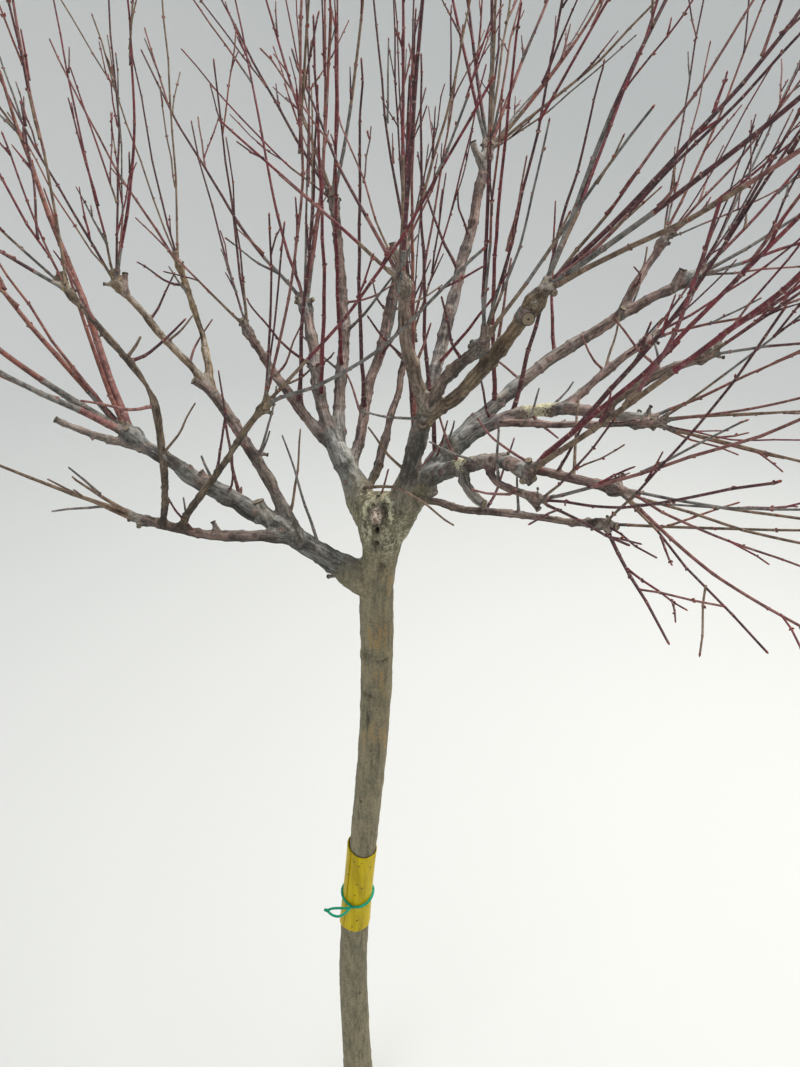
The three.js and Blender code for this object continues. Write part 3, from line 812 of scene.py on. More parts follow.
def lone_twigs(limbs):
    """The thin twigs that leave the boughs themselves, each with its tone: those of the table, and
    two or three short ones on every bough."""
    twigs = []
    for index, (name, at, heading, rise, length, radii, tone) in enumerate(LONE_TWIGS):
        random = seeded(LONE_SEED + index)
        start = limbs[name].point_at(at)
        points = grow_path(start, heading, rise, length, BRANCHLET_STEP / 2, LONE_KINK, random)
        twigs.append((Twig(points, tapered(radii, points), heading[0], rise[0], length, LONE), tone))
    for index, (name, *_) in enumerate(BOUGHS):
        random = seeded(TWIGLET_SEED + index)
        for tone in TWIGLET_TONES[index % 3 :: 3]:
            start = limbs[name].point_at(within(random, TWIGLET_FEET))
            heading = random() * 360
            rise = within(random, TWIGLET_RISES)
            length = within(random, TWIGLET_LENGTHS)
            headings = (heading, heading + either(random, TWIGLET_TURN))
            rises = (rise, rise + TWIGLET_LIFT)
            points = grow_path(start, headings, rises, length, TWIGLET_STEP, TWIGLET_KINK, random)
            twigs.append((Twig(points, tapered(TWIGLET_RADII, points), heading, rise, length, LONE), tone))
    return twigs


def start_mass(row, limb, index):
    """A mass with its knob: a short swollen stem that starts just clear of the bough's tip."""
    heading, rise, _ = fan_at(row, 0.5)
    out = tangents(limb.points)[-1]
    radius = limb.radii[-1]
    shares = np.array(KNOB_RINGS)[:, None] * (KNOB_LENGTH + KNOB_LENGTH_PER_RADIUS * radius)
    knob = limb.points[-1] + out * GAP + out * shares
    thick = max(LEADER_LEAST_RADIUS, LEADER_RADIUS_PER_TIP * radius)
    random = seeded(FIRST_SEED + len(BOUGHS) + index)
    finer = seeded(FINER_SEED + index)
    swell = np.array(KNOB_SWELL) * radius
    return Mass(row, knob, swell, direction(heading, rise), thick, random, finer)


@lru_cache(maxsize=1)
def grown_tree(whips, spacing):
    """The limbs by name, the twig masses, grown in the solids' order, and the lone twigs."""
    heights, radii = np.array(TRUNK_PROFILE, float).T
    limbs = {"trunk": Limb("trunk", trunk_middle(heights), radii)}
    for i, row in enumerate(BOUGHS):
        limbs[row[0]] = bough_limb(row, limbs[row[1]], FIRST_SEED + i)
    space = Space()
    for limb in limbs.values():
        space.take(limb.name, limb.points, limb.radii)
    masses = [start_mass(row, limbs[row[0]], i) for i, row in enumerate(MASSES)]
    for mass in masses:
        space.take(mass.name, mass.knob, mass.knob_radii)
    for mass in masses:
        grow_leaders(mass, space)
    for mass in masses:
        grow_sides(mass, space)
    for mass in masses:
        more = MORE_WHIPS.get(mass.row[0], 0) - (mass.middle[2] <= STEEP_FAN)
        grow_whips(mass, space, max(0, whips + more))
        grow_branchlets(mass, space, spacing)
        grow_spurs(mass, space)
        for twig in mass.twigs:
            twig.stout = STOUTNESS.get(mass.row[0], 1.0)
    return limbs, masses, lone_twigs(limbs)


def lattice(x, y, z, seed):
    """A steady number from 0 to 1 for each whole-numbered cell, by mixing the bits of its place."""
    mixed = x * 374761393 + y * 668265263 + z * 1440662683 + seed * 1013904223
    bits = mixed.astype(np.uint32)
    bits ^= bits >> 15
    bits *= np.uint32(0x2C1B3C6D)
    bits ^= bits >> 12
    bits *= np.uint32(0x297A2D39)
    bits ^= bits >> 15
    return bits / 4294967295.0


def cloud(places, seed, octaves=1):
    """Soft noise from -1 to 1: numbers at the corners of unit cells, blended by smooth steps. Each
    octave after the first has half the size and half the weight."""
    total = np.zeros(len(places))
    weight = 1.0
    for octave in range(octaves):
        scaled = places * 2**octave
        cell = np.floor(scaled).astype(np.int64)
        share = scaled - cell
        share = share * share * (3 - 2 * share)
        value = 0.0
        for corner in range(8):
            step = np.array([corner & 1, corner >> 1 & 1, corner >> 2 & 1])
            side = np.where(step, share, 1 - share).prod(1)
            value = value + side * lattice(*(cell + step).T, seed + 31 * octave)
        total += weight * (2 * value - 1)
        weight /= 2
    return total / (2 - 2 * weight)


def smooth_path(points, step):
    """A curve through the points: between two of them a cubic that leaves each one along the line
    between its neighbours. Its points are about a step apart."""
    length = np.linalg.norm(np.diff(points, axis=0), axis=1).sum()
    spans = len(points) - 1
    place = np.linspace(0, spans, max(3, math.ceil(length / step) + 1))
    ends = np.vstack([2 * points[0] - points[1], points, 2 * points[-1] - points[-2]])
    before = np.minimum(place.astype(int), spans - 1)
    t = (place - before)[:, None]
    p, q, r, s = (ends[before + k] for k in range(4))
    return 0.5 * (2 * q + (r - p) * t + (2 * p - 5 * q + 4 * r - s) * t**2 + (3 * q - p - 3 * r + s) * t**3)


def lengths(points):
    """How far along its line each point is."""
    return np.concatenate([[0], np.cumsum(np.linalg.norm(np.diff(points, axis=0), axis=1))])


def frames(points, fixed=None):
    """The direction at each point and two directions across it. The first of these is one fixed
    direction, square to the line as a whole if none is given, with its part along the line taken out."""
    along = tangents(points)
    if fixed is None:
        whole = unit(points[-1] - points[0] + 1e-9)
        fixed = np.cross(whole, np.eye(3)[np.argmin(np.abs(whole))])
    across = unit(fixed - (along @ fixed)[:, None] * along)
    return along, across, np.cross(along, across)


@lru_cache(maxsize=None)
def tube_faces(rings, sides):
    """The faces of a closed tube: quads between its rings, and a fan at each end round a middle."""
    ring = np.arange(rings - 1)[:, None] * sides
    side = np.arange(sides)
    after = (side + 1) % sides
    quads = np.stack([ring + side, ring + after, ring + sides + after, ring + sides + side], -1)
    foot = np.full(sides, rings * sides)
    last = (rings - 1) * sides
    start = np.stack([foot, after, side], -1)
    end = np.stack([foot + 1, last + side, last + after], -1)
    return quads.reshape(-1, 4), np.vstack([start, end])


def tube(points, radii, sides, bulges, axes):
    """A closed tube: at each point a ring, which is the point plus the radius times the cosine and
    the sine of the angle along the two directions across. Each end bulges by a share of its radius."""
    along, across, over = axes
    angle = np.linspace(0, 2 * math.pi, sides, endpoint=False)
    rim = np.cos(angle)[:, None] * across[:, None] + np.sin(angle)[:, None] * over[:, None]
    radii = np.broadcast_to(radii, (len(points),))
    rings = points[:, None] + radii[:, None, None] * rim
    foot = points[0] - along[0] * radii[0] * bulges[0]
    tip = points[-1] + along[-1] * radii[-1] * bulges[1]
    quads, fans = tube_faces(len(points), sides)
    return np.vstack([rings.reshape(-1, 3), foot, tip]), quads, fans


class Joined:
    """Closed shapes gathered into one mesh, in millimetres, with marks on their points."""

    def __init__(self):
        self.points = []
        self.quads = []
        self.fans = []
        self.marks = {}
        self.count = 0

    def add(self, shape, **marks):
        points, quads, fans = shape
        self.points.append(points)
        self.quads.append(quads + self.count)
        self.fans.append(fans + self.count)
        for name, values in marks.items():
            self.marks.setdefault(name, []).append(np.broadcast_to(values, (len(points),)))
        self.count += len(points)

    def mesh(self, name):
        """Puts the gathered shapes into a mesh in metres, with smooth faces."""
        points = np.vstack(self.points) * MM
        quads = np.vstack(self.quads)
        fans = np.vstack(self.fans)
        corners = np.concatenate([quads.ravel(), fans.ravel()]).astype(np.int32)
        sizes = np.concatenate([np.full(len(quads), 4), np.full(len(fans), 3)])
        starts = np.concatenate([[0], np.cumsum(sizes)[:-1]])
        mesh = bpy.data.meshes.new(name)
        mesh.vertices.add(len(points))
        mesh.vertices.foreach_set("co", points.astype(np.float32).ravel())
        mesh.loops.add(len(corners))
        mesh.loops.foreach_set("vertex_index", corners)
        mesh.polygons.add(len(sizes))
        mesh.polygons.foreach_set("loop_start", starts.astype(np.int32))
        mesh.polygons.foreach_set("use_smooth", np.ones(len(sizes), bool))
        mesh.update(calc_edges=True)
        for mark, values in self.marks.items():
            put_mark(mesh, mark, np.concatenate(values))
        return mesh


def joined_mesh(name, shapes):
    """Closed shapes as one mesh."""
    joined = Joined()
    for shape in shapes:
        joined.add(shape)
    return joined.mesh(name)


def placed(name, data):
    """An object of this data, in the scene."""
    thing = bpy.data.objects.new(name, data)
    bpy.context.scene.collection.objects.link(thing)
    return thing


def put_mark(mesh, name, values):
    """Keeps a number, or a set of three, on each point of a mesh, for its material to read."""
    values = np.ascontiguousarray(values, np.float32)
    if values.ndim == 1:
        mesh.attributes.new(name, "FLOAT", "POINT").data.foreach_set("value", values)
    else:
        mesh.attributes.new(name, "FLOAT_VECTOR", "POINT").data.foreach_set("vector", values.ravel())


def stand_in(name, mesh, material, nodes):
    """Shows a mesh as a piece that stands for the named solids, if it is small enough for one."""
    mesh.calc_loop_triangles()
    if len(mesh.loop_triangles) > MOST_TRIANGLES:
        raise RuntimeError(f"{name} has {len(mesh.loop_triangles)} triangles")
    piece = placed(name, mesh)
    mesh.materials.clear()
    mesh.materials.append(material)
    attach(piece, "root")
    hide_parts(*nodes)


class Wire:
    """A value in a material's nodes, so that a sum on it reads as an expression."""

    def __init__(self, board, socket):
        self.board = board
        self.socket = socket

    def __add__(self, other):
        return self.board.sum("ADD", self, other)

    def __sub__(self, other):
        return self.board.sum("SUBTRACT", self, other)

    def __mul__(self, other):
        return self.board.sum("MULTIPLY", self, other)

    def __radd__(self, other):
        return self.board.sum("ADD", other, self)

    def __rsub__(self, other):
        return self.board.sum("SUBTRACT", other, self)

    def __rmul__(self, other):
        return self.board.sum("MULTIPLY", other, self)


class Board:
    """The nodes of one material."""

    def __init__(self, name):
        self.material = bpy.data.materials.new(name)
        self.material.use_nodes = True
        self.tree = self.material.node_tree
        self.tree.nodes.clear()

    def node(self, kind, settings, values, out=0):
        """Adds a node: first its settings, then the values or wires of its sockets."""
        made = self.tree.nodes.new(kind)
        for key, value in settings.items():
            setattr(made, key, value)
        for key, value in values.items():
            if isinstance(value, Wire):
                self.tree.links.new(value.socket, made.inputs[key])
            else:
                made.inputs[key].default_value = value
        return Wire(self, made.outputs[out]) if made.outputs else None

    def sum(self, operation, first, second):
        return self.node("ShaderNodeMath", {"operation": operation}, {0: first, 1: second})

    def mark(self, name, out="Fac"):
        """A number, or a set of three, that the mesh keeps on each point."""
        return self.node("ShaderNodeAttribute", {"attribute_name": name}, {}, out)

    def noise(self, scale, detail, roughness, stretch=(1, 1, 1), mark=None):
        """Noise from 0 to 1 with this many waves to the metre, over the object's own coordinates or
        those that the mesh keeps as a mark, stretched along each axis."""
        spot = self.mark(mark, "Vector") if mark else self.node("ShaderNodeTexCoord", {}, {}, "Object")
        spot = self.node("ShaderNodeMapping", {"vector_type": "POINT"}, {"Vector": spot, "Scale": stretch})
        values = {"Vector": spot, "Scale": scale, "Detail": detail, "Roughness": roughness}
        return self.node("ShaderNodeTexNoise", {}, values)

    def step(self, value, low, high):
        """0 below low, 1 above high, smooth between."""
        settings = {"interpolation_type": "SMOOTHSTEP"}
        values = {"Value": value, "From Min": low, "From Max": high}
        return self.node("ShaderNodeMapRange", settings, values)

    def mix(self, first, second, factor):
        """A blend of two colours."""
        settings = {"data_type": "RGBA", "blend_type": "MIX"}
        return self.node("ShaderNodeMix", settings, {0: factor, 6: first, 7: second}, out=2)

    def coats(self, base, *coats):
        """A colour with coats over it, from the lowest up, each a colour and how well it covers."""
        for colour, cover in coats:
            base = self.mix(base, colour, cover)
        return base

    def bump(self, height, depth):
        """A normal that is bent as if the surface rose by this depth, in metres."""
        return self.node("ShaderNodeBump", {}, {"Height": height, "Distance": depth, "Strength": 1.0})

    def finish(self, **values):
        """The surface's shader, whose sockets are named with low lines in place of spaces."""
        sockets = {key.replace("_", " "): value for key, value in values.items()}
        shader = self.node("ShaderNodeBsdfPrincipled", {}, sockets)
        self.node("ShaderNodeOutputMaterial", {}, {"Surface": shader})
        return self.material


def tint(red, green, blue):
    """A screen colour, each part 0 to 255, as the light values that Blender works with."""
    parts = np.array([red, green, blue]) / 255
    light = np.where(parts <= 0.04045, parts / 12.92, ((parts + 0.055) / 1.055) ** 2.4)
    return (*light.tolist(), 1.0)


def bark_material(colours):
    """Bark, in the limb's own coordinates: blotches and fine streaks along the limb between a light
    and a dark tone, thin creases, a painted highlight above that also stands for sun bleaching,
    painted shade below, tan on the warmer boughs and rosy where a bough is young and thin.
    The stem is olive brown with ochre patches and pale pores drawn out across it. Over these come
    fissured scars, lichen, grey dead wood, hollows darkened with painted shade and bare wood, where the
    mesh marks them."""
    board = Board("maple_bark")
    stem_share = board.mark("age")
    above = board.mark("above")
    warmth = board.mark("warmth")
    shade = board.mark("shade")
    scar = board.mark("scar")
    old = board.mark("old")
    fine = board.noise(900, 4, 0.65)
    speckle = board.noise(330, 3, 0.7)
    blotches = board.noise(62, 5, 0.68, (1, 1, 0.6), "limb")
    streaks = board.noise(300, 4, 0.7, (1, 1, 0.13), "limb")
    lines = board.noise(340, 2, 0.5, (1, 1, 0.06), "limb")
    crease = board.step(board.sum("ABSOLUTE", lines - 0.5, 0.0), 0.05, 0.01) * (1 - board.mark("seam"))
    clouds = board.noise(56, 5, 0.68, (1, 1, 0.45))
    veins = board.noise(230, 4, 0.7, (1, 1, 0.12))
    pores = board.noise(430, 3, 0.6, (0.35, 0.35, 1))
    mottle = blotches * 0.55 + streaks * 0.25 + speckle * 0.2
    grey = board.mix(colours.bough_shade, colours.bough_bark, board.step(mottle, 0.42, 0.58))
    tan = board.mix(tint(92, 75, 58), colours.tan_bark, board.step(mottle, 0.42, 0.58))
    # Painted highlight: the upper side of each limb is paled towards light grey, which stands both for
    # sun-bleached bark and for the light that falls from above
    painted_highlight_and_bleach = board.step(above + (mottle - 0.5) * 2.4, 0.45, 1.05) * (0.48 - 0.34 * shade)
    rosy = board.mix(tint(98, 70, 64), tint(162, 128, 116), board.step(mottle, 0.42, 0.6))
    # Painted shade: the underside of each limb is darkened, less so on the warmer boughs
    underside_shade = board.step(above + (mottle - 0.5) * 1.6, 0.1, -0.7) * (0.66 - 0.4 * warmth)
    dark_streaks = board.step(streaks * 0.6 + blotches * 0.4, 0.47, 0.37) * (0.66 - 0.26 * warmth)
    bough = board.coats(
        board.mix(grey, tan, warmth),
        # painted highlight on the upper side, also sun bleaching
        (tint(200, 200, 194), painted_highlight_and_bleach),
        (rosy, board.mark("young") * board.step(streaks + speckle, 0.7, 1.0) * 0.9),
        # painted shade on the undersides
        (tint(52, 52, 47), underside_shade),
        (tint(60, 59, 56), dark_streaks),
        (tint(58, 52, 46), shade * (0.45 + 0.45 * board.step(mottle, 0.6, 0.42))),
        (tint(46, 44, 41), crease * 0.5),
    )
    grit = speckle * 0.3 + veins * 0.35 + clouds * 0.35
    warm = board.mark("patch") + (clouds - 0.5) * 0.7 + (veins - 0.5) * 1.7 + (speckle - 0.5) * 1.1
    crumbs = board.step(speckle * 0.5 + clouds * 0.5, 0.49, 0.6)
    fissured = scar * (0.3 + 0.7 * board.step(veins * 0.5 + speckle * 0.5, 0.54, 0.44))
    stem = board.coats(
        board.mix(tint(104, 98, 80), colours.stem_bark, board.step(grit, 0.4, 0.6)),
        (colours.ochre_patches, board.step(warm, 0.5, 1.05) * 0.66),
        (tint(168, 160, 138), board.step(speckle * 0.6 + pores * 0.4, 0.55, 0.68) * 0.34),
        (tint(60, 52, 40), board.step(pores * 0.7 + speckle * 0.3, 0.37, 0.29) * 0.6),
        (tint(60, 55, 44), board.step(veins, 0.45, 0.35) * (0.25 + 0.6 * old)),
        (tint(196, 193, 168), crumbs * old * 0.8),
        (tint(58, 50, 40), fissured * 0.85),
    )
    grain_lines = board.step(streaks * 0.6 + fine * 0.4, 0.4, 0.6)
    dead = board.mix(tint(88, 82, 75), tint(164, 158, 147), grain_lines)
    crust = board.mark("lichen") + (blotches - 0.5) * 1.2 + (speckle - 0.5) * 1.8 + (fine - 0.5) * 0.9
    lichen = board.step(crust, 0.44, 0.56)
    growth = board.mix(colours.lichen, colours.lichen_grey, board.step(speckle, 0.48, 0.66))
    weathered = board.step(speckle * 0.6 + fine * 0.4, 0.42, 0.56)
    wood = board.mix(tint(118, 92, 78), tint(236, 220, 200), weathered)
    base = board.coats(
        board.mix(bough, stem, stem_share),
        (tint(190, 187, 172), board.step(fine, 0.6, 0.72) * (0.34 - 0.16 * stem_share)),
        (tint(44, 41, 35), board.step(fine, 0.41, 0.32) * (0.42 - 0.2 * stem_share)),
        (dead, board.mark("dead")),
        (growth, lichen * 0.9),
        # Painted shade: the sunken marks and holes on the trunk are darkened nearly to black
        (tint(24, 19, 15), board.mark("hollow_shade")),
        (wood, board.mark("bare")),
    )
    grain = fine * 0.4 + speckle * 0.5 + streaks * 0.7 - crease * 0.35
    height = grain * (1 - stem_share) + lichen * 0.8
    height = height + stem_share * (pores * 0.35 + speckle * 0.3 + veins * (0.3 + old) + fissured * 0.7)
    return board.finish(
        Base_Color=base,
        Roughness=0.76 + fine * 0.18,
        Normal=board.bump(height, 0.0014),
        Specular_IOR_Level=0.3,
    )


def twig_material(tone):
    """A twig's thin bark: its tone with darker streaks and a pale bloom in fine specks."""
    colour, dark, _ = TONES[tone]
    board = Board("twig_" + tone)
    streaks = board.noise(120, 5, 0.68)
    fine = board.noise(1300, 3, 0.6)
    base = board.coats(
        tint(*colour),
        (tint(*dark), board.step(streaks, 0.4, 0.62)),
        (tint(184, 168, 158), board.step(board.noise(420, 4, 0.7), 0.53, 0.68) * 0.36),
        (tint(48, 34, 32), board.step(fine, 0.42, 0.32) * 0.4),
    )
    dull = 0.78 if tone in OLD_TONES else 0.48
    return board.finish(
        Base_Color=base,
        Roughness=dull + streaks * 0.2,
        Normal=board.bump(fine, 0.00025),
        Specular_IOR_Level=0.4,
    )


def plain_material(name, light, dark, scale, rough, depth):
    """A finish of one colour that darkens in soft blotches, with a fine relief of its own."""
    board = Board(name)
    blotches = board.noise(scale, 4, 0.6)
    base = board.mix(tint(*light), tint(*dark), board.step(blotches, 0.35, 0.68))
    return board.finish(
        Base_Color=base,
        Roughness=rough + blotches * 0.12,
        Normal=board.bump(board.noise(scale * 3, 3, 0.6), depth),
    )


def cut_material():
    """Sawn wood: a dark pith, cream wood with faint rings and dark specks, and a bark rim."""
    board = Board("cut_wood")
    out = board.mark("out")
    fine = board.noise(1400, 3, 0.6)
    rings = board.sum("SINE", out * 34 + fine * 3, 0.0)
    base = board.coats(
        tint(158, 142, 118),
        (tint(120, 104, 86), board.step(rings, -0.2, 1.0) * 0.3),
        (tint(98, 84, 68), board.step(fine, 0.46, 0.62) * 0.6),
        (tint(64, 50, 38), board.step(out, 0.24, 0.12)),
        (tint(80, 74, 66), board.step(out, 0.8, 0.92)),
    )
    return board.finish(
        Base_Color=base,
        Roughness=0.85,
        Normal=board.bump(rings * 0.4 + fine, 0.0003),
    )


@dataclass
class Run:
    """One smooth limb of the bark as arrays over its points, and what its bark is like: how warm, how
    dead, how rough with burls, how ringed and how dark. A cut limb ends in a sawn face, and a filler
    only thickens the wood beside it."""

    points: np.ndarray
    radii: np.ndarray
    warmth: float = USUAL_WARMTH
    dead: float = 0
    burls: float = 0
    rings: float = 0
    shade: float = 0
    sides: int = 14
    bulges: tuple = (0.4, 0.5)
    cut: bool = False
    filler: bool = False
    axes: tuple = None

    def __post_init__(self):
        self.axes = self.axes or frames(self.points)

    def shape(self):
        return tube(self.points, self.radii, self.sides, self.bulges, self.axes)


def wood_runs(limbs, masses, lone):
    """Every run of the bark, first the trunk: the boughs, the old wood in their fork, their knots and
    stubs, the knobs' cuts, and a collar where each shoot leaves."""
    knobs = {mass.row[0]: mass for mass in masses}
    runs = [trunk_run()]
    for number, limb in enumerate(list(limbs.values())[1:]):
        if limb.name in RUN_ON.values():
            continue
        if limb.name in RUN_ON:
            limb = run_on(limbs[RUN_ON[limb.name]], limb)
        run = bough_run(limb, number, knobs.get(limb.name))
        runs += [run, *knot_runs(run, number)]
    for start, end, radii in FORK_WOOD:
        points = smooth_path(np.array([start, end], float), LIMB_RING_STEP)
        radii = between(radii, lengths(points) / lengths(points)[-1])
        runs.append(Run(points, radii, sides=24, bulges=(0.5, 0.8), filler=True))
    stubs = [stub_run(row, limbs[row[0]], index) for index, row in enumerate(STUBS)]
    for index, stub in enumerate(stubs):
        runs += [stub, *knot_runs(stub, STUB_KNOTS + index)]
    for index, mass in enumerate(masses):
        warmth = min(1, WARMTH.get(mass.row[0], USUAL_WARMTH) + 0.25)
        dead = 0.8 if mass.row[0] in DEAD_MASSES else 0.15
        runs += [collar_run(twig, warmth, dead) for twig in mass.twigs if twig.kind in (LEADER, WHIP)]
        runs += knob_cuts(mass, index, warmth, dead)
    return runs + [collar_run(twig, USUAL_WARMTH, 0) for twig, _ in lone]


def run_on(first, second):
    """Two limbs as one. Each point of its line is the mean of itself and the four on each side, so
    that it bends where the limbs met. Its ends stay."""
    line = smooth_path(np.vstack([first.points, second.points[1:]]), 6)
    radii = np.interp(lengths(line) / lengths(line)[-1], (0, 1), (first.radii[0], second.radii[-1]))
    padded = np.vstack([line[:1]] * 4 + [line] + [line[-1:]] * 4)
    mean = np.mean([padded[k : k + len(line)] for k in range(9)], 0)
    mean[[0, -1]] = line[[0, -1]]
    return Limb(second.name, mean, radii)


def trunk_run():
    """The trunk: level rings, with its profile eased over 20 mm."""
    heights = np.arange(0, TRUNK_TOP + 1, LIMB_RING_STEP)
    eased = stem_radius(heights + np.linspace(-10, 10, 9)[:, None]).mean(0)
    points = trunk_middle(heights)
    level = np.tile(np.eye(3)[:, None], (1, len(points), 1))
    axes = (level[2], level[0], level[1])
    return Run(points, eased, WARMTH["trunk"], sides=64, bulges=(0, 0.4), axes=axes)


def uneven(far, row, step, seed):
    """Soft noise along a limb, by how far along it each point is. Every limb reads a row of its own."""
    own = np.stack([far, np.full(len(far), row), np.zeros(len(far))], 1)
    return cloud(own / (step, 1, 1), seed, 2)


def bough_run(limb, number, mass):
    """A bough with its collar and its knob, which is rough with burls. Its radius is the solid's times
    its girth, swollen at the foot, and swells and shrinks by a sixth. It strays a little to both
    sides."""
    line = limb.points if mass is None else np.vstack([limb.points, mass.knob[1:]])
    ends = limb.radii if mass is None else np.concatenate([limb.radii, mass.knob_radii[1:]])
    known = lengths(line)
    points = smooth_path(line, LIMB_RING_STEP)
    far = lengths(points)
    radii = np.interp(far / far[-1] * known[-1], known, ends) * GIRTHS.get(limb.name, 1.0)
    radii = radii * (1 + 0.5 * np.exp(-far / (1.8 * radii[0])))
    extra, reach = SWOLLEN_FEET.get(limb.name, (0, 1))
    radii = radii + extra * (1 - smoothstep(far, 0.35 * reach, reach))
    if mass is None:
        radii = np.minimum(radii, radii[-1] + (far[-1] - far) * 0.6 + 0.6)
    row = 17.3 * number
    radii = radii * (1 + 0.17 * uneven(far, row, 13, 41))
    free = (1 - np.exp(-far / 14))[:, None]
    _, across, over = frames(points)
    stray = 0.24 * radii[:, None] * free
    points = points + across * stray * uneven(far, row, 22, 42)[:, None]
    points = points + over * stray * uneven(far, row, 22, 43)[:, None]
    knob = 0 if mass is None else smoothstep(far, far[-1] - 26, far[-1] - 9)
    looks = {"warmth": WARMTH.get(limb.name, USUAL_WARMTH), "shade": SHADE.get(limb.name, 0.0)}
    return Run(points, radii * (1 + 0.16 * knob), **looks, burls=1.7 * knob, rings=1, sides=20)


def knot_runs(run, number):
    """The knots on a bough, one for every 25 mm or so: short stumps of old twigs, all round it."""
    random = seeded(KNOT_SEED + number)
    far = lengths(run.points)
    knots = []
    place = within(random, KNOT_FIRST)
    while place < far[-1] - KNOT_END:
        near = int(np.searchsorted(far, place))
        turn = random() * 2 * math.pi
        out = math.cos(turn) * run.axes[1][near] + math.sin(turn) * run.axes[2][near]
        lean = unit(out + run.axes[0][near] * within(random, KNOT_LEAN))
        thick = run.radii[near] * within(random, KNOT_RADII)
        length = run.radii[near] + within(random, (0.1, 2.4)) ** 1.3
        points = run.points[near] + lean * np.linspace(0, length, len(KNOT_SWELL))[:, None]
        looks = {"warmth": run.warmth, "shade": run.shade, "dead": 0.3 * random()}
        knots.append(Run(points, thick * KNOT_SWELL, **looks, burls=0.6, sides=9, bulges=(0.2, 0.8)))
        place += within(random, KNOT_GAPS)
    return knots


def stub_run(row, limb, index):
    """A pruned stub: a short limb with a collar and a square end."""
    _, at, heading, rise, length, radius, dead = row
    random = seeded(STUB_SEED + index)
    line = grow_path(limb.point_at(at), heading, rise, length, 9, 12, random)
    points = smooth_path(line, STUB_RING_STEP)
    far = lengths(points)
    radii = between(radius, far / far[-1]) * (1 + 0.4 * np.exp(-far / (1.3 * radius[0])))
    radii = radii * (1 + 0.14 * uneven(far, 11.1 * index, 9, 44))
    return Run(points, radii, dead=dead, burls=0.2 + 0.6 * dead, rings=0.7, bulges=(0.4, 0.05), cut=True)


def collar_run(twig, warmth, dead):
    """The collar where a shoot leaves: its first 16 mm, swollen at the foot."""
    points = smooth_path(twig.points, STUB_RING_STEP)[:9]
    thick = twig.radii[0] * LOOK_RADIUS * twig.stout
    radii = thick * (1.05 + 0.9 * np.exp(-lengths(points) / 6))
    return Run(points, radii, warmth, dead, burls=1, sides=12, bulges=(0.4, 0.0))


def knob_cuts(mass, index, warmth, dead):
    """The old cuts that swell a knob, each a short stump to one side of its shoots."""
    random = seeded(CUT_SEED + index)
    runs = []
    for _ in range(CUTS_PER_KNOB):
        start = point_along(mass.knob, within(random, (0.35, 0.95)))
        heading = math.degrees(math.atan2(mass.middle[1], mass.middle[0])) + either(random, 130)
        rise = within(random, (-30, 75))
        thick = mass.knob_radii[0] * within(random, (0.34, 0.62))
        length = mass.knob_radii[1] + within(random, (1, 9))
        line = grow_path(start, (heading, heading), (rise, rise), length, 5, 4, random)
        points = smooth_path(line, STUB_RING_STEP)
        radii = thick * np.linspace(1.2, 0.9, len(points))
        looks = {"warmth": warmth, "dead": max(dead, 0.45)}
        runs.append(Run(points, radii, **looks, burls=1, sides=12, bulges=(0.4, 0.05), cut=True))
    return runs


def split_at_sleeve(runs):
    """The stem below the middle of the sleeve, and the rest: the cut is hidden in the sleeve."""
    trunk = runs[0]
    middle = (SLEEVE_BOTTOM + SLEEVE_TOP) / 2
    low = trunk.points[:, 2] <= middle
    parts = []
    for keep, bulges in ((low, (0, 0)), (~low, (0, 0.4))):
        axes = tuple(axis[keep] for axis in trunk.axes)
        parts.append(tube(trunk.points[keep], trunk.radii[keep], trunk.sides, bulges, axes))
    lower, upper = parts
    lower = (flared(lower[0]), *lower[1:])
    return lower, [upper, *(run.shape() for run in runs[1:])]


def flared(points):
    """Swells the trunk's foot into root lobes: the radius grows by a cosine of the angle times the
    number of lobes, which dies out upwards."""
    out = points - trunk_middle(points[:, 2])
    angle = np.arctan2(out[:, 1], out[:, 0])
    lobes = np.cos(FLARE_LOBES * angle) * np.exp(-points[:, 2] / FLARE_HEIGHT)
    return trunk_middle(points[:, 2]) + out * (1 + FLARE_DEPTH * lobes)[:, None]


def fused(shapes, grain, name):
    """One closed skin round overlapping closed shapes: the Remesh modifier walks their outside in
    steps of a grain, and a Smooth modifier rounds the steps off and fills the crotches."""
    maker = placed(name, joined_mesh(name, shapes))
    remesh = maker.modifiers.new("skin", "REMESH")
    remesh.mode = "VOXEL"
    remesh.voxel_size = grain * MM
    smooth = maker.modifiers.new("ease", "SMOOTH")
    smooth.factor = 0.5
    smooth.iterations = 4
    graph = bpy.context.evaluated_depsgraph_get()
    mesh = bpy.data.meshes.new_from_object(maker.evaluated_get(graph), depsgraph=graph)
    raw = maker.data
    bpy.data.objects.remove(maker)
    bpy.data.meshes.remove(raw)
    return mesh


def edge_ends(mesh):
    """The numbers of the points at the two ends of each edge."""
    ends = np.empty(len(mesh.edges) * 2, np.int32)
    mesh.edges.foreach_get("vertices", ends)
    return ends.reshape(-1, 2).T


def move_points(mesh, places):
    """Puts a mesh's points at places in millimetres."""
    mesh.vertices.foreach_set("co", (places * MM).astype(np.float32).ravel())
    mesh.update()


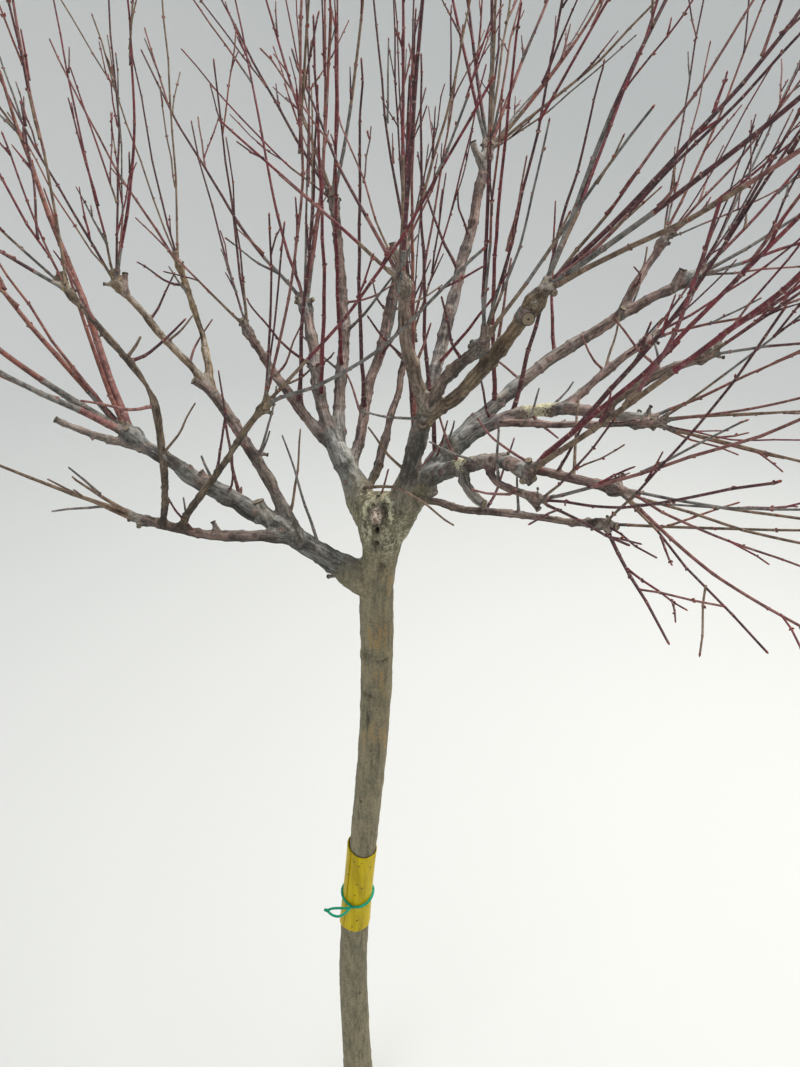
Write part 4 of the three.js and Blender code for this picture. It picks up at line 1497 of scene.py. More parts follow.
def ease_joints(mesh, limbs):
    """Draws the skin smooth where limbs meet: in each round a point moves towards the mean of its
    neighbours, the more the nearer it is to where a bough leaves its parent."""
    places, _ = read_points(mesh)
    first, second = edge_ends(mesh)
    weight = np.zeros(len(places))
    for name, parent, share, *_ in BOUGHS:
        limb = limbs[name]
        around = limbs[parent]
        thick = np.interp(share * lengths(around.points)[-1], lengths(around.points), around.radii)
        joint = limb.points[0] + unit(limb.points[1] - limb.points[0]) * 1.15 * thick
        reach = JOINT_REACH * limb.radii[0] + 3
        weight = np.maximum(weight, np.exp(-((places - joint) ** 2).sum(1) / reach**2))
    count = np.bincount(np.concatenate([first, second]), minlength=len(places))
    for _ in range(JOINT_ROUNDS):
        sums = [
            np.bincount(first, places[second, axis], len(places))
            + np.bincount(second, places[first, axis], len(places))
            for axis in range(3)
        ]
        places += 0.6 * weight[:, None] * (np.stack(sums, 1) / count[:, None] - places)
    move_points(mesh, places)


def half_skin(mesh, name, behind):
    """The part of a closed skin before or behind the parting plane, its cut closed by flat faces."""
    sheet = bmesh.new()
    sheet.from_mesh(mesh)
    cut = bmesh.ops.bisect_plane(
        sheet,
        geom=[*sheet.verts, *sheet.edges, *sheet.faces],
        plane_co=(0, PARTING_DEPTH * MM, 0),
        plane_no=(0, 1, 0),
        clear_inner=behind,
        clear_outer=not behind,
    )
    rim = [part for part in cut["geom_cut"] if isinstance(part, bmesh.types.BMEdge)]
    bmesh.ops.holes_fill(sheet, edges=rim, sides=0)
    half = bpy.data.meshes.new(name)
    sheet.to_mesh(half)
    sheet.free()
    return half


def read_points(mesh):
    """A mesh's points and their normals, in millimetres."""
    places = np.empty(len(mesh.vertices) * 3, np.float32)
    normals = np.empty(len(mesh.vertices) * 3, np.float32)
    mesh.vertices.foreach_get("co", places)
    mesh.vertex_normals.foreach_get("vector", normals)
    return places.reshape(-1, 3).astype(float) / MM, normals.reshape(-1, 3).astype(float)


def nearest_stations(places, stations):
    """For each place the limb point whose surface is nearest: least distance less its radius."""
    centres = stations["points"]
    squares = (centres**2).sum(1)
    found = np.empty(len(places), int)
    for start in range(0, len(places), 4000):
        part = places[start : start + 4000]
        gaps = (part**2).sum(1)[:, None] - 2 * part @ centres.T + squares
        found[start : start + 4000] = np.argmin(np.sqrt(np.maximum(gaps, 0)) - stations["radii"], 1)
    return found


def stations_of(runs):
    """The points of all runs in one set of arrays, with what the bark is like at each."""
    rows = {}
    for number, run in enumerate(run for run in runs if not run.filler):
        count = len(run.points)
        along, across, over = run.axes
        row = {"points": run.points, "radii": run.radii, "far": lengths(run.points)}
        row.update(along=along, across=across, over=over, number=np.full(count, number))
        for key in ("warmth", "dead", "burls", "rings", "shade"):
            row[key] = np.zeros(count) + getattr(run, key)
        for key, values in row.items():
            rows.setdefault(key, []).append(values)
    return {key: np.concatenate(values) for key, values in rows.items()}


def trunk_marks(places):
    """The marks on the trunk at each place: an oval dome or dish for each, with a low rim round a
    dish, and how much painted shade, how bare and how scarred each place is: a low mark is a scar, and a
    dish gets painted shade, the more the deeper it is, so that a deep one reads as a hollow. An oval's
    value is e to the minus the squared distance from its middle in half widths, so it fades out beyond its
    rim."""
    relief = np.zeros(len(places))
    hollow_shade = np.zeros(len(places))
    scar = np.zeros(len(places))
    for height, heading, half_width, half_height, rise in MARKS:
        oval = mark_oval(places, height, heading, half_width, half_height)
        near = np.exp(-(oval**2))
        relief += rise * near
        if abs(rise) < SCAR_DEPTH:
            scar = np.maximum(scar, near)
        if rise < 0:
            relief += min(-0.25 * rise, 0.9) * np.exp(-(((oval - 1.5) / 0.45) ** 2))
            # Painted shade: a dish is darkened, the more the deeper it is
            hollow_shade = np.maximum(hollow_shade, near * min(1, rise * rise / 30))
    return relief, hollow_shade, strongest_oval(places, BARE_MARKS, 4), scar


def mark_oval(places, height, heading, half_width, half_height):
    """How many half widths each place is from the middle of an oval on the trunk."""
    out = places - trunk_middle(height)
    radius = np.hypot(out[:, 0], out[:, 1])
    turn = np.arctan2(out[:, 1], out[:, 0]) - math.radians(heading)
    turn = (turn + math.pi) % (2 * math.pi) - math.pi
    oval = np.hypot(turn * radius / half_width, out[:, 2] / half_height)
    return np.where((np.abs(turn) < 1.4) & (radius < MARKS_REACH), oval, 9.0)


def strongest_oval(places, marks, power=2):
    """The most that any of some ovals on the trunk has at each place: e to the minus a power of how
    many half widths it is from the oval's middle."""
    return np.max([np.exp(-(mark_oval(places, *mark) ** power)) for mark in marks], 0)


def put_bark(mesh, stations, limbs):
    """Raises the bark's relief on a fused skin and marks it for its material. In the limb's own
    coordinates, round by cosine and sine and along by distance: broad lumps, ridges drawn out along
    the limb, low rings where it once bore buds, and the trunk's marks."""
    places, normals = read_points(mesh)
    near = nearest_stations(places, stations)
    offset = places - stations["points"][near]
    along = np.einsum("ij,ij->i", offset, stations["along"][near])
    angle = np.arctan2(
        np.einsum("ij,ij->i", offset, stations["over"][near]),
        np.einsum("ij,ij->i", offset, stations["across"][near]),
    )
    keys = ("radii", "number", "dead", "burls", "rings", "warmth", "shade")
    radius, number, dead, burls, rings, warmth, shade = (stations[key][near] for key in keys)
    far = stations["far"][near] + along
    thick = np.minimum(radius, 24)
    own = np.stack([thick * np.cos(angle), thick * np.sin(angle), far], 1) + 331.0 * number[:, None]
    old = np.exp(-((((places - HEAD_MIDDLE) ** 2).sum(1) / HEAD_REACH**2) ** 2))
    age = np.maximum(np.where(number == 0, 1.0, smoothstep(radius, 11.5, 17)), old)
    shade = shade * (1 - old)
    lumps = cloud(own / (9, 9, 15), 2, 2)
    ridges = cloud(own / (3.6, 3.6, 30), 3)
    rough = cloud(places / 3.0, 4, 2)
    turn = np.round(far / BARK_RING_SPACING)
    cell = turn.astype(np.int64)
    shift = (lattice(cell, number, number, 5) - 0.5) * 20
    ring = np.exp(-(((far - turn * BARK_RING_SPACING - shift) / 2.0) ** 2)) * rings
    ring = ring * (0.2 + lattice(cell, number, number, 6))
    marks, hollow_shade, bare, scar = trunk_marks(places)
    spots = lichen_spots(places, limbs)
    height = places[:, 2]
    ochre = strongest_oval(places, OCHRE_MARKS)
    head = smoothstep(height, 1085, 1120) * smoothstep(1190 - height, 0, 30) * age
    relief = (0.8 - 0.1 * age + 0.8 * head) * lumps + (0.34 + 0.04 * age) * ridges
    relief += (0.3 + 0.04 * age + 0.5 * burls + 0.9 * scar) * rough + 1.0 * ring
    relief += marks + spots * (0.6 + 1.3 * rough)
    relief *= np.clip(radius / 5, 0.35, 1)
    covered = smoothstep(height, SLEEVE_BOTTOM - 6, SLEEVE_BOTTOM)
    covered = covered * smoothstep(-height, -SLEEVE_TOP - 6, -SLEEVE_TOP)
    relief = relief * (1 - covered) - 0.3 * covered
    moved = places + normals * relief[:, None]
    moved[:, 2] = np.maximum(moved[:, 2], 0)
    move_points(mesh, moved)
    growth = cloud(places / 26, 6, 2) * 0.45 + np.clip(normals[:, 2], 0, 1) * 0.3 + head * 0.12 - 0.42
    patch = cloud(own / (10, 10, 45), 7, 2) * 0.3 + 0.36 + 0.34 * ochre + 0.1 * normals[:, 0]
    patch -= 0.3 * smoothstep(600 - height, 0, 120) + 0.35 * head
    kept = {
        "limb": own * MM,
        "above": normals[:, 2],
        "age": np.clip(age, 0, 1),
        "warmth": np.clip(warmth + 0.22 * lumps, 0, 1),
        "young": (1 - smoothstep(radius, *YOUNG_RADII)) * (1 - warmth),
        "shade": np.clip(shade + 0.3 * lumps * (shade > 0), 0, 1),
        "patch": patch,
        "lichen": growth + 1.15 * spots,
        "old": old,
        "seam": seams(mesh, number),
        "scar": scar,
        "dead": np.clip(dead * 1.1 + 0.2 * lumps * (dead > 0), 0, 1),
        "bare": bare,
        # painted shade in the trunk's dishes and holes
        "hollow_shade": np.clip(hollow_shade * 1.6 - 0.2, 0, 1),
    }
    for name, values in kept.items():
        put_mark(mesh, name, values)
    mesh.polygons.foreach_set("use_smooth", np.ones(len(mesh.polygons), bool))


def seams(mesh, number):
    """1 on the points of a mesh next to where one limb's coordinates end and another's start."""
    first, second = edge_ends(mesh)
    parted = number[first] != number[second]
    seam = np.zeros(len(number))
    seam[first[parted]] = 1
    seam[second[parted]] = 1
    near = np.maximum(seam[first], seam[second])
    np.maximum.at(seam, first, near)
    np.maximum.at(seam, second, near)
    return seam


def lichen_spots(places, limbs):
    """How thick lichen is in the places where it shows most: a soft ball round each spot on a bough,
    and a soft oval for each on the trunk."""
    thick = strongest_oval(places, LICHEN_MARKS)
    for name, share, size in LICHEN_SPOTS:
        out = places - limbs[name].point_at(share)
        thick = np.maximum(thick, np.exp(-(out**2).sum(1) / size**2))
    return thick


def user_tree():
    """The limbs, the masses and the lone twigs, grown with the user's settings."""
    sizes = bpy.context.scene.maple_sizes
    return grown_tree(sizes.whips, sizes.branchlet_spacing / MM)


def cut_faces(runs):
    """A thin domed disc on the end of each pruned limb: its middle, three rings and a turned edge."""
    joined = Joined()
    for run in runs:
        along, across, over = (axis[-1] for axis in run.axes)
        radius = run.radii[-1] * 1.02
        tip = run.points[-1] + along * run.radii[-1] * run.bulges[1]
        shares = np.array([0.9, 1.0, 0.96, 0.55, 0.2])
        heights = np.array([-1.2, 0.1, 0.5, 0.62, 0.6])
        points = tip + along * heights[:, None]
        axes = tuple(np.tile(axis, (len(shares), 1)) for axis in (along, across, over))
        shape = tube(points, shares * radius, CUT_SIDES, (0, 0), axes)
        out = np.concatenate([np.repeat(np.array([1, 1, 0.96, 0.55, 0.2]), CUT_SIDES), [1, 0]])
        joined.add(shape, out=out)
    return joined


def twig_stations(far, nodes):
    """Where a twig has rings: close round each node, and a few between them."""
    close = (nodes[:, None] + np.array([-2.4, -1.0, 0, 1.2, 3.0])).ravel()
    loose = np.arange(0, far, 8.5)
    loose = loose[np.abs(loose[:, None] - nodes).min(1) > 4] if len(nodes) else loose
    ends = [0, 2, 5, far]
    places = np.unique(np.concatenate([close, loose, ends]).round(2))
    places = places[(places >= 0) & (places <= far)]
    keep = np.concatenate([[True], np.diff(places) > 0.4])
    return places[keep]


def twig_nodes(twig, random):
    """How far along a twig its pairs of buds are: closer together near its foot and its tip."""
    spacing = NODE_SPACING[twig.kind]
    nodes = []
    far = within(random, (0.3, 0.7)) * spacing
    while far < twig.length - 5:
        nodes.append(far)
        near_end = min(far, twig.length - far) / 60
        far += spacing * within(random, (0.8, 1.2)) * (0.62 + 0.38 * min(near_end, 1))
    return np.array(nodes)


def twig_line(twig, nodes, random):
    """A twig's smooth line with a slight kink at every node and its radius, which differs from twig to
    twig and swells at each node and at the foot."""
    base = smooth_path(twig.points, 6)
    known = lengths(base)
    far = known[-1]
    places = twig_stations(far, nodes)
    line = np.stack([np.interp(places, known, base[:, axis]) for axis in range(3)], 1)
    _, across, over = frames(line)
    knots = np.concatenate([[0], nodes, [far]])
    sway = 1.3 if twig.kind in (LEADER, WHIP) else 0.8
    swing = np.array([[either(random, sway), either(random, sway)] for _ in knots])
    swing[0] = 0
    aside = np.interp(places, knots, swing[:, 0])[:, None]
    lift = np.interp(places, knots, swing[:, 1])[:, None]
    line = line + across * aside + over * lift
    stout = within(random, (0.72, 1.08)) if twig.kind < BRANCHLET else 1
    foot = twig.radii[0] * LOOK_SHARES[twig.kind] * stout * twig.stout
    radii = between((foot, LOOK_TIPS[twig.kind]), (places / far) ** 0.85)
    if len(nodes):
        swell = np.exp(-(((places[:, None] - nodes) / 1.7) ** 2)).sum(1)
        radii = radii * (1 + 0.11 * swell)
    return line, radii * (1 + 0.4 * np.exp(-places / (1.6 * radii[0]))), places


@lru_cache(maxsize=None)
def turned(rings, sides, bulges):
    """A small shape turned round an axis, from rings of radius and height, with a point at its end."""
    radii, heights = np.array(rings).T
    points = np.zeros((len(radii), 3))
    points[:, 2] = heights
    axes = tuple(np.tile(np.eye(3)[k], (len(radii), 1)) for k in (2, 0, 1))
    return tube(points, radii, sides, bulges, axes)


def copies(shape, middles, axes, sizes):
    """Copies of a small shape: each is turned to its axes, scaled along each and set at its middle."""
    points, quads, fans = shape
    turned_axes = axes * sizes[:, :, None]
    spread = middles[:, None] + np.einsum("pk,nkc->npc", points, turned_axes)
    step = (np.arange(len(middles)) * len(points))[:, None, None]
    return spread.reshape(-1, 3), (quads + step).reshape(-1, 4), (fans + step).reshape(-1, 3)


def bud_places(line, radii, places, nodes, spin):
    """The middle and the axes of each bud, and of each node's band with the twig's radius there: a
    pair of buds to a node, each pair a quarter turn on from the last, and each bud leaning out from
    the twig by half a radian."""
    along, across, over = frames(line)
    near = np.searchsorted(places, nodes).clip(0, len(places) - 1)
    angle = spin + np.arange(len(nodes)) * math.pi / 2
    middles = []
    axes = []
    for side in (0, math.pi):
        turn = (angle + side)[:, None]
        out = np.cos(turn) * across[near] + np.sin(turn) * over[near]
        lean = math.cos(0.5) * along[near] + math.sin(0.5) * out
        flat = np.cross(along[near], out)
        middles.append(line[near] + out * radii[near][:, None] * 0.75)
        axes.append(np.stack([np.cross(flat, lean), flat, lean], 1))
    bands = np.stack([across[near], over[near], along[near]], 1)
    return np.vstack(middles), np.vstack(axes), line[near], bands, radii[near]


def pick_tone(mass, random):
    """The tone of a twig: its mass's own more often than not, and otherwise by the tones' shares. Dead
    wood is grey or tan."""
    if mass.row[0] in DEAD_MASSES:
        return "tan" if random() < 0.65 else "grey"
    own = MASS_TONES.get(mass.row[0])
    if own and random() < 0.5:
        return own
    draw = random()
    for tone, (_, _, share) in TONES.items():
        draw -= share
        if draw < 0:
            return tone
    return "crimson"


@dataclass
class TwigWork:
    """The meshes of the twigs by tone, of their node bands and of their buds, while they are made."""

    bud_length: float
    tones: dict = field(default_factory=lambda: {tone: Joined() for tone in TONES})
    bands: Joined = field(default_factory=Joined)
    buds: Joined = field(default_factory=Joined)
    bud: tuple = field(default_factory=lambda: turned(BUD_RINGS, 5, (0.0, 0.43)))
    band: tuple = field(default_factory=lambda: turned(BAND_RINGS, 8, (0.0, 0.0)))

    def add(self, twig, tone, random, alive):
        """A twig with its nodes. The foot of a living shoot is older wood in another tone, as far as
        one of its nodes."""
        nodes = twig_nodes(twig, random)
        line, radii, places = twig_line(twig, nodes, random)
        axes = frames(line)
        spin = random() * 2 * math.pi
        sides = 9 if radii[0] > 2.2 else 7 if radii[0] > 1.3 else 5
        cut = 0
        if alive and twig.kind < BRANCHLET and len(nodes) > 3:
            old = nodes[min(int(within(random, (0, 0.4)) * len(nodes)), len(nodes) - 2)]
            cut = int(np.searchsorted(places, old))
        if cut > 2:
            first = tuple(axis[: cut + 1] for axis in axes)
            rest = tuple(axis[cut:] for axis in axes)
            old_tone = OLD_TONES[int(random() * 2.999)]
            self.tones[old_tone].add(tube(line[: cut + 1], radii[: cut + 1], sides, (0.3, 0), first))
            self.tones[tone].add(tube(line[cut:], radii[cut:], sides, (0, 0.8), rest))
        else:
            self.tones[tone].add(tube(line, radii, sides, (0.3, 0.8), axes))
        if len(nodes):
            self.add_nodes(line, radii, places, nodes, spin, random, alive)
        if alive:
            tip_axes = np.stack([axis[-1] for axis in (axes[1], axes[2], axes[0])])[None]
            tip_size = np.array([[radii[-1] * 1.15, radii[-1] * 1.15, self.bud_length * 1.3]])
            self.buds.add(copies(self.bud, line[-1:], tip_axes, tip_size))

    def add_nodes(self, line, radii, places, nodes, spin, random, alive):
        """A band at every node, and on living wood a pair of buds, of which some have dropped."""
        middles, turns, ring_middles, ring_turns, thick = bud_places(line, radii, places, nodes, spin)
        band_sizes = np.stack([thick, thick, np.full(len(thick), 0.7)], 1)
        self.bands.add(copies(self.band, ring_middles, ring_turns, band_sizes))
        size = self.bud_length * np.array([0.6 + 0.6 * random() for _ in middles])
        kept = np.array([alive and random() > MISSING_BUDS for _ in middles])
        if kept.any():
            sizes = np.stack([size * 0.34, size * 0.38, size], 1)
            self.buds.add(copies(self.bud, middles[kept], turns[kept], sizes[kept]))


def twig_pieces(masses, lone, bud_length):
    """All twigs by tone, their node bands and their buds."""
    work = TwigWork(bud_length)
    for index, mass in enumerate(masses):
        random = seeded(TWIG_LOOK_SEED + index)
        for twig in mass.twigs:
            work.add(twig, pick_tone(mass, random), random, mass.row[0] not in DEAD_MASSES)
    for index, (twig, tone) in enumerate(lone):
        work.add(twig, tone, seeded(LONE_LOOK_SEED + index), tone not in OLD_TONES)
    return work


def stem_radius(height):
    """The stem's radius at each height."""
    return np.interp(height, *np.array(TRUNK_PROFILE, float).T)


def sleeve_shape(wrinkle):
    """The label sleeve: a thin sheet wrapped a little more than once round the trunk. Its radius is
    the trunk's, plus a lap that lifts the end over the start, plus long wrinkles that fade at the
    tie, where the sheet is drawn in, plus a slight flare at its top and bottom edge. Both edges
    wave a little by a sine of the angle, and the top slopes down from the seam, where its corner
    stands up. The profile goes up the outside, over the top edge, down the inside and under the
    bottom edge."""
    rows = 70
    turns = np.linspace(0, 2 * math.pi * (1 + SLEEVE_LAP), 160)
    heights = np.linspace(SLEEVE_BOTTOM, SLEEVE_TOP, rows)
    rise = np.concatenate([heights, [SLEEVE_TOP + 0.25], heights[::-1], [SLEEVE_BOTTOM - 0.25]])
    out = np.concatenate([np.ones(rows), [0.5], np.zeros(rows), [0.5]]) * SLEEVE_WALL
    turn, height = np.meshgrid(turns, rise, indexing="ij")
    lap = smoothstep(turn, 2 * math.pi * (1 - SLEEVE_LAP), 2 * math.pi)
    corner = 1.0 * np.exp(-((turn / 0.3) ** 2)) + 0.5 * np.sin(2.3 * turn + 1)
    corner += 4.6 * np.cos(turn) - 1.4
    height = height + corner * smoothstep(height, SLEEVE_BOTTOM + 60, SLEEVE_TOP)
    height = height + 0.8 * np.sin(1.7 * turn) * smoothstep(-height, -SLEEVE_BOTTOM - 60, -SLEEVE_BOTTOM)
    tie = np.exp(-(((height - TIE_HEIGHT) / 9) ** 2))
    edge = np.exp(-(height - SLEEVE_BOTTOM) / 9) + np.exp(-(SLEEVE_TOP - height) / 9)
    folds = cloud(np.stack([turn.ravel() * 3.2, height.ravel() / 95, 0 * turn.ravel()], 1), 21, 2)
    folds = folds.reshape(turn.shape) * wrinkle
    radius = stem_radius(height) + SLEEVE_GAP + out + lap * (SLEEVE_WALL + 0.2)
    radius = radius + folds * (1 - 0.8 * tie) - 0.45 * tie + 0.35 * edge
    angle = turn + math.radians(SLEEVE_SEAM_HEADING)
    round_it = np.stack([radius * np.cos(angle), radius * np.sin(angle), 0 * radius], -1)
    points = trunk_middle(height) + round_it
    quads, fans = tube_faces(len(turns), len(rise))
    ends = [points[0].mean(0), points[-1].mean(0)]
    return np.vstack([points.reshape(-1, 3), ends]), quads[:, ::-1], fans[:, ::-1]


def tie_shape(wire):
    """The tie: one coated wire. It comes in from its tail, runs along the upper side of a leaf-shaped
    loop to the crossing, once round the sleeve, back through the crossing and along the loop's lower
    side to the other tail. Its knots are headings, distances from the trunk's middle and heights."""
    ring = stem_radius(TIE_HEIGHT) + SLEEVE_GAP + SLEEVE_WALL + 0.85 * wire
    tail = [(213, 30, 1.4), (216, 27, 0.8)]
    upper = [(219, 22, 2.0), (225, 16.5, 2.4), (238, 9, 0.6), (250, 3, -1.6)]
    headings = range(264, 612, 18)
    dips = [-0.7 - 2.8 * math.cos(math.radians(2 * (heading - 265))) for heading in headings]
    around = [(heading, 0.2, dip) for heading, dip in zip(headings, dips)]
    lower = [(608, 5.5, -1.4), (603, 14.5, -1.8), (596, 22, -1.8), (586, 26, -1.2)]
    other_tail = [(577, 27.5, -0.4), (572, 30, -1.0)]
    knots = np.array([*tail, *upper, *around, *lower, *other_tail], float)
    turn = np.radians(knots[:, 0])
    far = ring + knots[:, 1]
    middle = trunk_middle(TIE_HEIGHT)
    line = middle + np.stack([far * np.cos(turn), far * np.sin(turn), knots[:, 2]], 1)
    points = smooth_path(line, 1.2)
    return tube(points, wire, 10, (0.6, 0.6), frames(points, UP))


def label_material(colours):
    """Sun-faded yellow plastic: paler and darker streaks down the sheet, dust, and small dark specks."""
    board = Board("label_yellow")
    streaks = board.noise(90, 3, 0.6, (1, 1, 0.12))
    fine = board.noise(700, 3, 0.6)
    dirt = board.step(board.noise(38, 4, 0.7), 0.56, 0.7) * 0.22
    base = board.coats(
        colours.label,
        (colours.label_shade, board.step(streaks, 0.4, 0.72)),
        (tint(214, 196, 30), board.step(fine, 0.58, 0.72) * 0.16),
        (tint(120, 106, 16), dirt),
        (tint(70, 56, 20), board.step(board.noise(170, 1, 0.4), 0.7, 0.73) * 0.8),
    )
    return board.finish(
        Base_Color=base,
        Roughness=0.4 + fine * 0.16 + dirt * 0.5,
        Normal=board.bump(streaks * 0.6 + fine * 0.4, 0.0003),
        Specular_IOR_Level=0.16,
    )


def tie_material(colours):
    """The tie's soft green coating, darker green in patches and with pale flecks painted on as highlights.
    """
    board = Board("tie_green")
    patch_and_glint_noise = board.noise(420, 4, 0.6)
    base = board.coats(
        colours.tie,
        (tint(0, 116, 90), board.step(patch_and_glint_noise, 0.44, 0.6)),
        # Painted highlight: pale green glints in flecks over the coating
        (tint(30, 214, 170), board.step(patch_and_glint_noise, 0.58, 0.7) * 0.5),
    )
    return board.finish(
        Base_Color=base,
        Roughness=0.3 + patch_and_glint_noise * 0.2,
        Normal=board.bump(board.noise(1600, 2, 0.5), 0.0002),
        Specular_IOR_Level=0.3,
    )


def lay_floor(tone):
    """A pale floor, flat round the tree, which then curves up like the inside of a bowl, so that no
    edge shows from any side: it rises by the square of the way out from there."""
    reach = np.concatenate([[0.6, 1.6, 2.8], np.linspace(FLOOR_FLAT, FLOOR_REACH, 36)])
    rise = FLOOR_CURVE * np.maximum(reach - FLOOR_FLAT, 0) ** 2
    turn = np.linspace(0, 2 * math.pi, FLOOR_SIDES, endpoint=False)
    rings = np.stack(
        [reach[:, None] * np.cos(turn), reach[:, None] * np.sin(turn), rise[:, None] + 0 * turn], -1
    )
    side = np.arange(FLOOR_SIDES)
    after = (side + 1) % FLOOR_SIDES
    ring = np.arange(len(reach) - 1)[:, None] * FLOOR_SIDES
    outer = ring + FLOOR_SIDES
    faces = np.stack([ring + side, outer + side, outer + after, ring + after], -1)
    middle = [(len(reach) * FLOOR_SIDES, a, b) for a, b in zip(side.tolist(), after.tolist())]
    mesh = bpy.data.meshes.new("floor")
    points = np.vstack([rings.reshape(-1, 3), [0, 0, 0]])
    mesh.from_pydata(points.tolist(), [], faces.reshape(-1, 4).tolist() + middle)
    mesh.polygons.foreach_set("use_smooth", np.ones(len(mesh.polygons), bool))
    board = Board("floor")
    mesh.materials.append(board.finish(Base_Color=tuple(tone), Roughness=0.9))
    floor = placed("floor", mesh)


def hang_light(name, place, aim, width, power, tone):
    """A square soft light at a place, turned to its aim."""
    lamp = bpy.data.lights.new(name, "AREA")
    lamp.size = width
    lamp.energy = power
    lamp.color = tone
    light = placed(name, lamp)
    light.location = place
    back = unit(np.array(place) - np.array(aim))
    level = math.hypot(back[0], back[1])
    light.rotation_euler = (math.atan2(level, back[2]), 0, math.atan2(back[0], -back[1]))


def size(name, text, default, **limits):
    """A length that the user may change, in metres."""
    return bpy.props.FloatProperty(
        name=name, description=text, default=default, unit="LENGTH", precision=4, **limits
    )


def colour(name, text, default):
    """A colour that the user may change, given as a screen colour."""
    return bpy.props.FloatVectorProperty(
        name=name, description=text, default=tint(*default), subtype="COLOR", size=4, min=0, max=1
    )


class MapleSizes(bpy.types.PropertyGroup):
    """The sizes of the tree's finer parts."""

    whips: bpy.props.IntProperty(
        name="Whips", description="Thinner shoots added to each knob", default=2, min=0, max=6
    )
    branchlet_spacing: size(
        "Branchlet spacing", "Length of shoot for each branchlet", 0.17, min=0.03, max=0.6
    )
    bud_length: size("Bud length", "Length of the largest buds", 0.0024, min=0.001, max=0.01)
    bark_grain: size(
        "Bark grain", "Step of the mesh that carries the bark's relief", 0.0017, min=0.0012, max=0.006
    )
    sleeve_wrinkle: size("Sleeve wrinkle", "Depth of the wrinkles in the label", 0.0006, min=0, max=0.003)
    tie_wire: size("Tie wire", "Radius of the tie's coated wire", 0.0017, min=0.0004, max=0.002)


class MapleColours(bpy.types.PropertyGroup):
    """The colours of the tree, its label and the floor."""

    stem_bark: colour("Stem bark", "The stem's olive brown bark", (144, 135, 108))
    ochre_patches: colour("Ochre patches", "Warm patches on the stem", (156, 118, 62))
    bough_bark: colour("Bough bark", "The boughs' grey bark", (147, 147, 142))
    bough_shade: colour("Bough blotches", "The darker blotches on the boughs", (84, 84, 82))
    tan_bark: colour("Tan bark", "The bark of the warmer boughs", (160, 136, 102))
    lichen: colour("Lichen", "The crusts of lichen near the fork", (222, 214, 178))
    lichen_grey: colour("Grey lichen", "The greyer lichen among it", (152, 151, 132))
    label: colour("Label", "The label sleeve's yellow", (204, 178, 0))
    label_shade: colour("Label streaks", "The darker streaks on the label sleeve", (168, 144, 0))
    tie: colour("Tie", "The tie's green coating", (0, 170, 128))
    floor: colour("Floor", "The studio floor", (222, 222, 218))


class MAPLE_OT_stage(bpy.types.Operator):
    """Lays the studio floor, hangs the soft lights and sets up the camera at the photograph's angle"""

    bl_idname = "maple.stage"
    bl_label = "Stage"

    def execute(self, context):
        scene = context.scene
        lay_floor(scene.maple_colours.floor)
        for light in LIGHTS:
            hang_light(*light)
        world = bpy.data.worlds.new("studio")
        world.use_nodes = True
        background = world.node_tree.nodes["Background"]
        background.inputs["Color"].default_value = WORLD_COLOUR
        background.inputs["Strength"].default_value = WORLD_STRENGTH
        scene.world = world
        lens = bpy.data.cameras.new("camera")
        lens.lens = CAMERA_LENS
        lens.clip_start = CAMERA_NEAR
        camera = placed("camera", lens)
        camera.location = CAMERA_PLACE
        camera.rotation_euler = (math.radians(90 - CAMERA_PITCH), 0, 0)
        scene.camera = camera
        scene.view_settings.view_transform = "Standard"
        return {"FINISHED"}


class MAPLE_OT_bark(bpy.types.Operator):
    """Grows the bark of the stem and the boughs with their collars, knobs and pruned stubs"""

    bl_idname = "maple.bark"
    bl_label = "Bark"

    def execute(self, context):
        grain = context.scene.maple_sizes.bark_grain / MM
        limbs, masses, lone = user_tree()
        runs = wood_runs(limbs, masses, lone)
        stations = stations_of(runs)
        material = bark_material(context.scene.maple_colours)
        stem, crown = split_at_sleeve(runs)
        boughs = [name for name in limbs if name != "trunk"]
        knobs = [mass.name for mass in masses]
        lower = fused([stem], grain, "bark_stem")
        put_bark(lower, stations, limbs)
        stand_in("bark_stem", lower, material, ["trunk"])
        upper = fused(crown, grain, "bark_crown")
        ease_joints(upper, limbs)
        put_bark(upper, stations, limbs)
        wood = ["trunk", *boughs, *knobs]
        for name, behind in (("bark_front", False), ("bark_back", True)):
            stand_in(name, half_skin(upper, name, behind), material, wood)
        bpy.data.meshes.remove(upper)
        cuts = cut_faces([run for run in runs if run.cut]).mesh("cut_faces")
        stand_in("cut_faces", cuts, cut_material(), boughs)
        return {"FINISHED"}


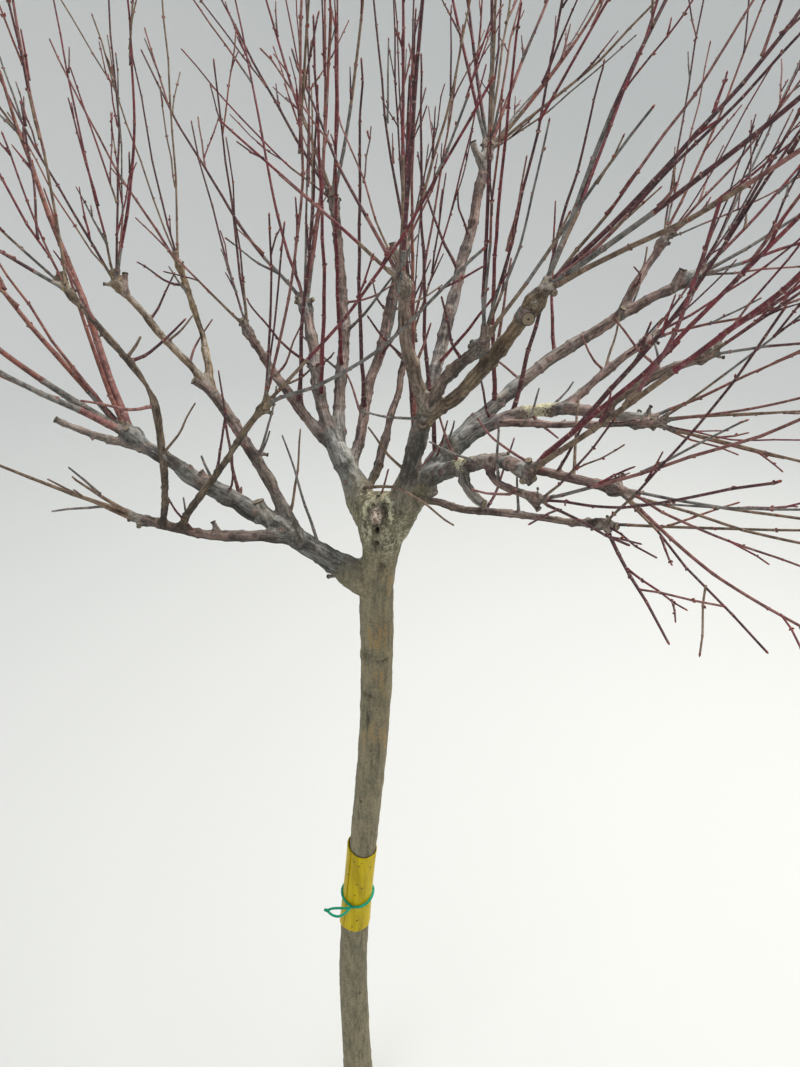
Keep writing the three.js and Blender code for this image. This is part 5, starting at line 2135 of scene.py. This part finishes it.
class MAPLE_OT_twigs(bpy.types.Operator):
    """Grows the twigs in their tones, with the bands of their nodes and their buds"""

    bl_idname = "maple.twigs"
    bl_label = "Twigs and buds"

    def execute(self, context):
        _, masses, lone = user_tree()
        names = [mass.name for mass in masses]
        work = twig_pieces(masses, lone, context.scene.maple_sizes.bud_length / MM)
        for tone, joined in work.tones.items():
            stand_in("twigs_" + tone, joined.mesh("twigs_" + tone), twig_material(tone), names)
        rings = plain_material("node_bands", (156, 128, 116), (104, 74, 68), 500, 0.6, 0.0003)
        stand_in("node_bands", work.bands.mesh("node_bands"), rings, names)
        scales = plain_material("bud_scales", (140, 64, 50), (74, 34, 32), 420, 0.5, 0.0003)
        stand_in("buds", work.buds.mesh("buds"), scales, names)
        return {"FINISHED"}


class MAPLE_OT_label(bpy.types.Operator):
    """Wraps the bare label sleeve round the stem and puts the wire tie round it"""

    bl_idname = "maple.label"
    bl_label = "Label and tie"

    def execute(self, context):
        sizes = context.scene.maple_sizes
        colours = context.scene.maple_colours
        sleeve = joined_mesh("sleeve", [sleeve_shape(sizes.sleeve_wrinkle / MM)])
        stand_in("sleeve", sleeve, label_material(colours), ["label_sleeve"])
        wire = joined_mesh("tie", [tie_shape(sizes.tie_wire / MM)])
        stand_in("tie", wire, tie_material(colours), ["label_tie"])
        return {"FINISHED"}


class MAPLE_PT_panel(bpy.types.Panel):
    """The maple's steps and settings"""

    bl_label = "Bare maple"
    bl_idname = "MAPLE_PT_panel"
    bl_space_type = "VIEW_3D"
    bl_region_type = "UI"
    bl_category = "Maple"

    def draw(self, context):
        for step in STEPS:
            self.layout.operator(step.bl_idname)
        for group in (context.scene.maple_sizes, context.scene.maple_colours):
            for name in group.bl_rna.properties.keys():
                if name not in ("rna_type", "name"):
                    self.layout.prop(group, name)


STEPS = (MAPLE_OT_stage, MAPLE_OT_bark, MAPLE_OT_twigs, MAPLE_OT_label)
CLASSES = (MapleSizes, MapleColours, *STEPS, MAPLE_PT_panel)


def register():
    for kind in CLASSES:
        bpy.utils.register_class(kind)
    bpy.types.Scene.maple_sizes = bpy.props.PointerProperty(type=MapleSizes)
    bpy.types.Scene.maple_colours = bpy.props.PointerProperty(type=MapleColours)


def unregister():
    del bpy.types.Scene.maple_colours
    del bpy.types.Scene.maple_sizes
    for kind in reversed(CLASSES):
        bpy.utils.unregister_class(kind)


def main():
    register()
    bpy.ops.maple.stage()
    bpy.ops.maple.bark()
    bpy.ops.maple.twigs()
    bpy.ops.maple.label()


if __name__ == "__main__":
    main()
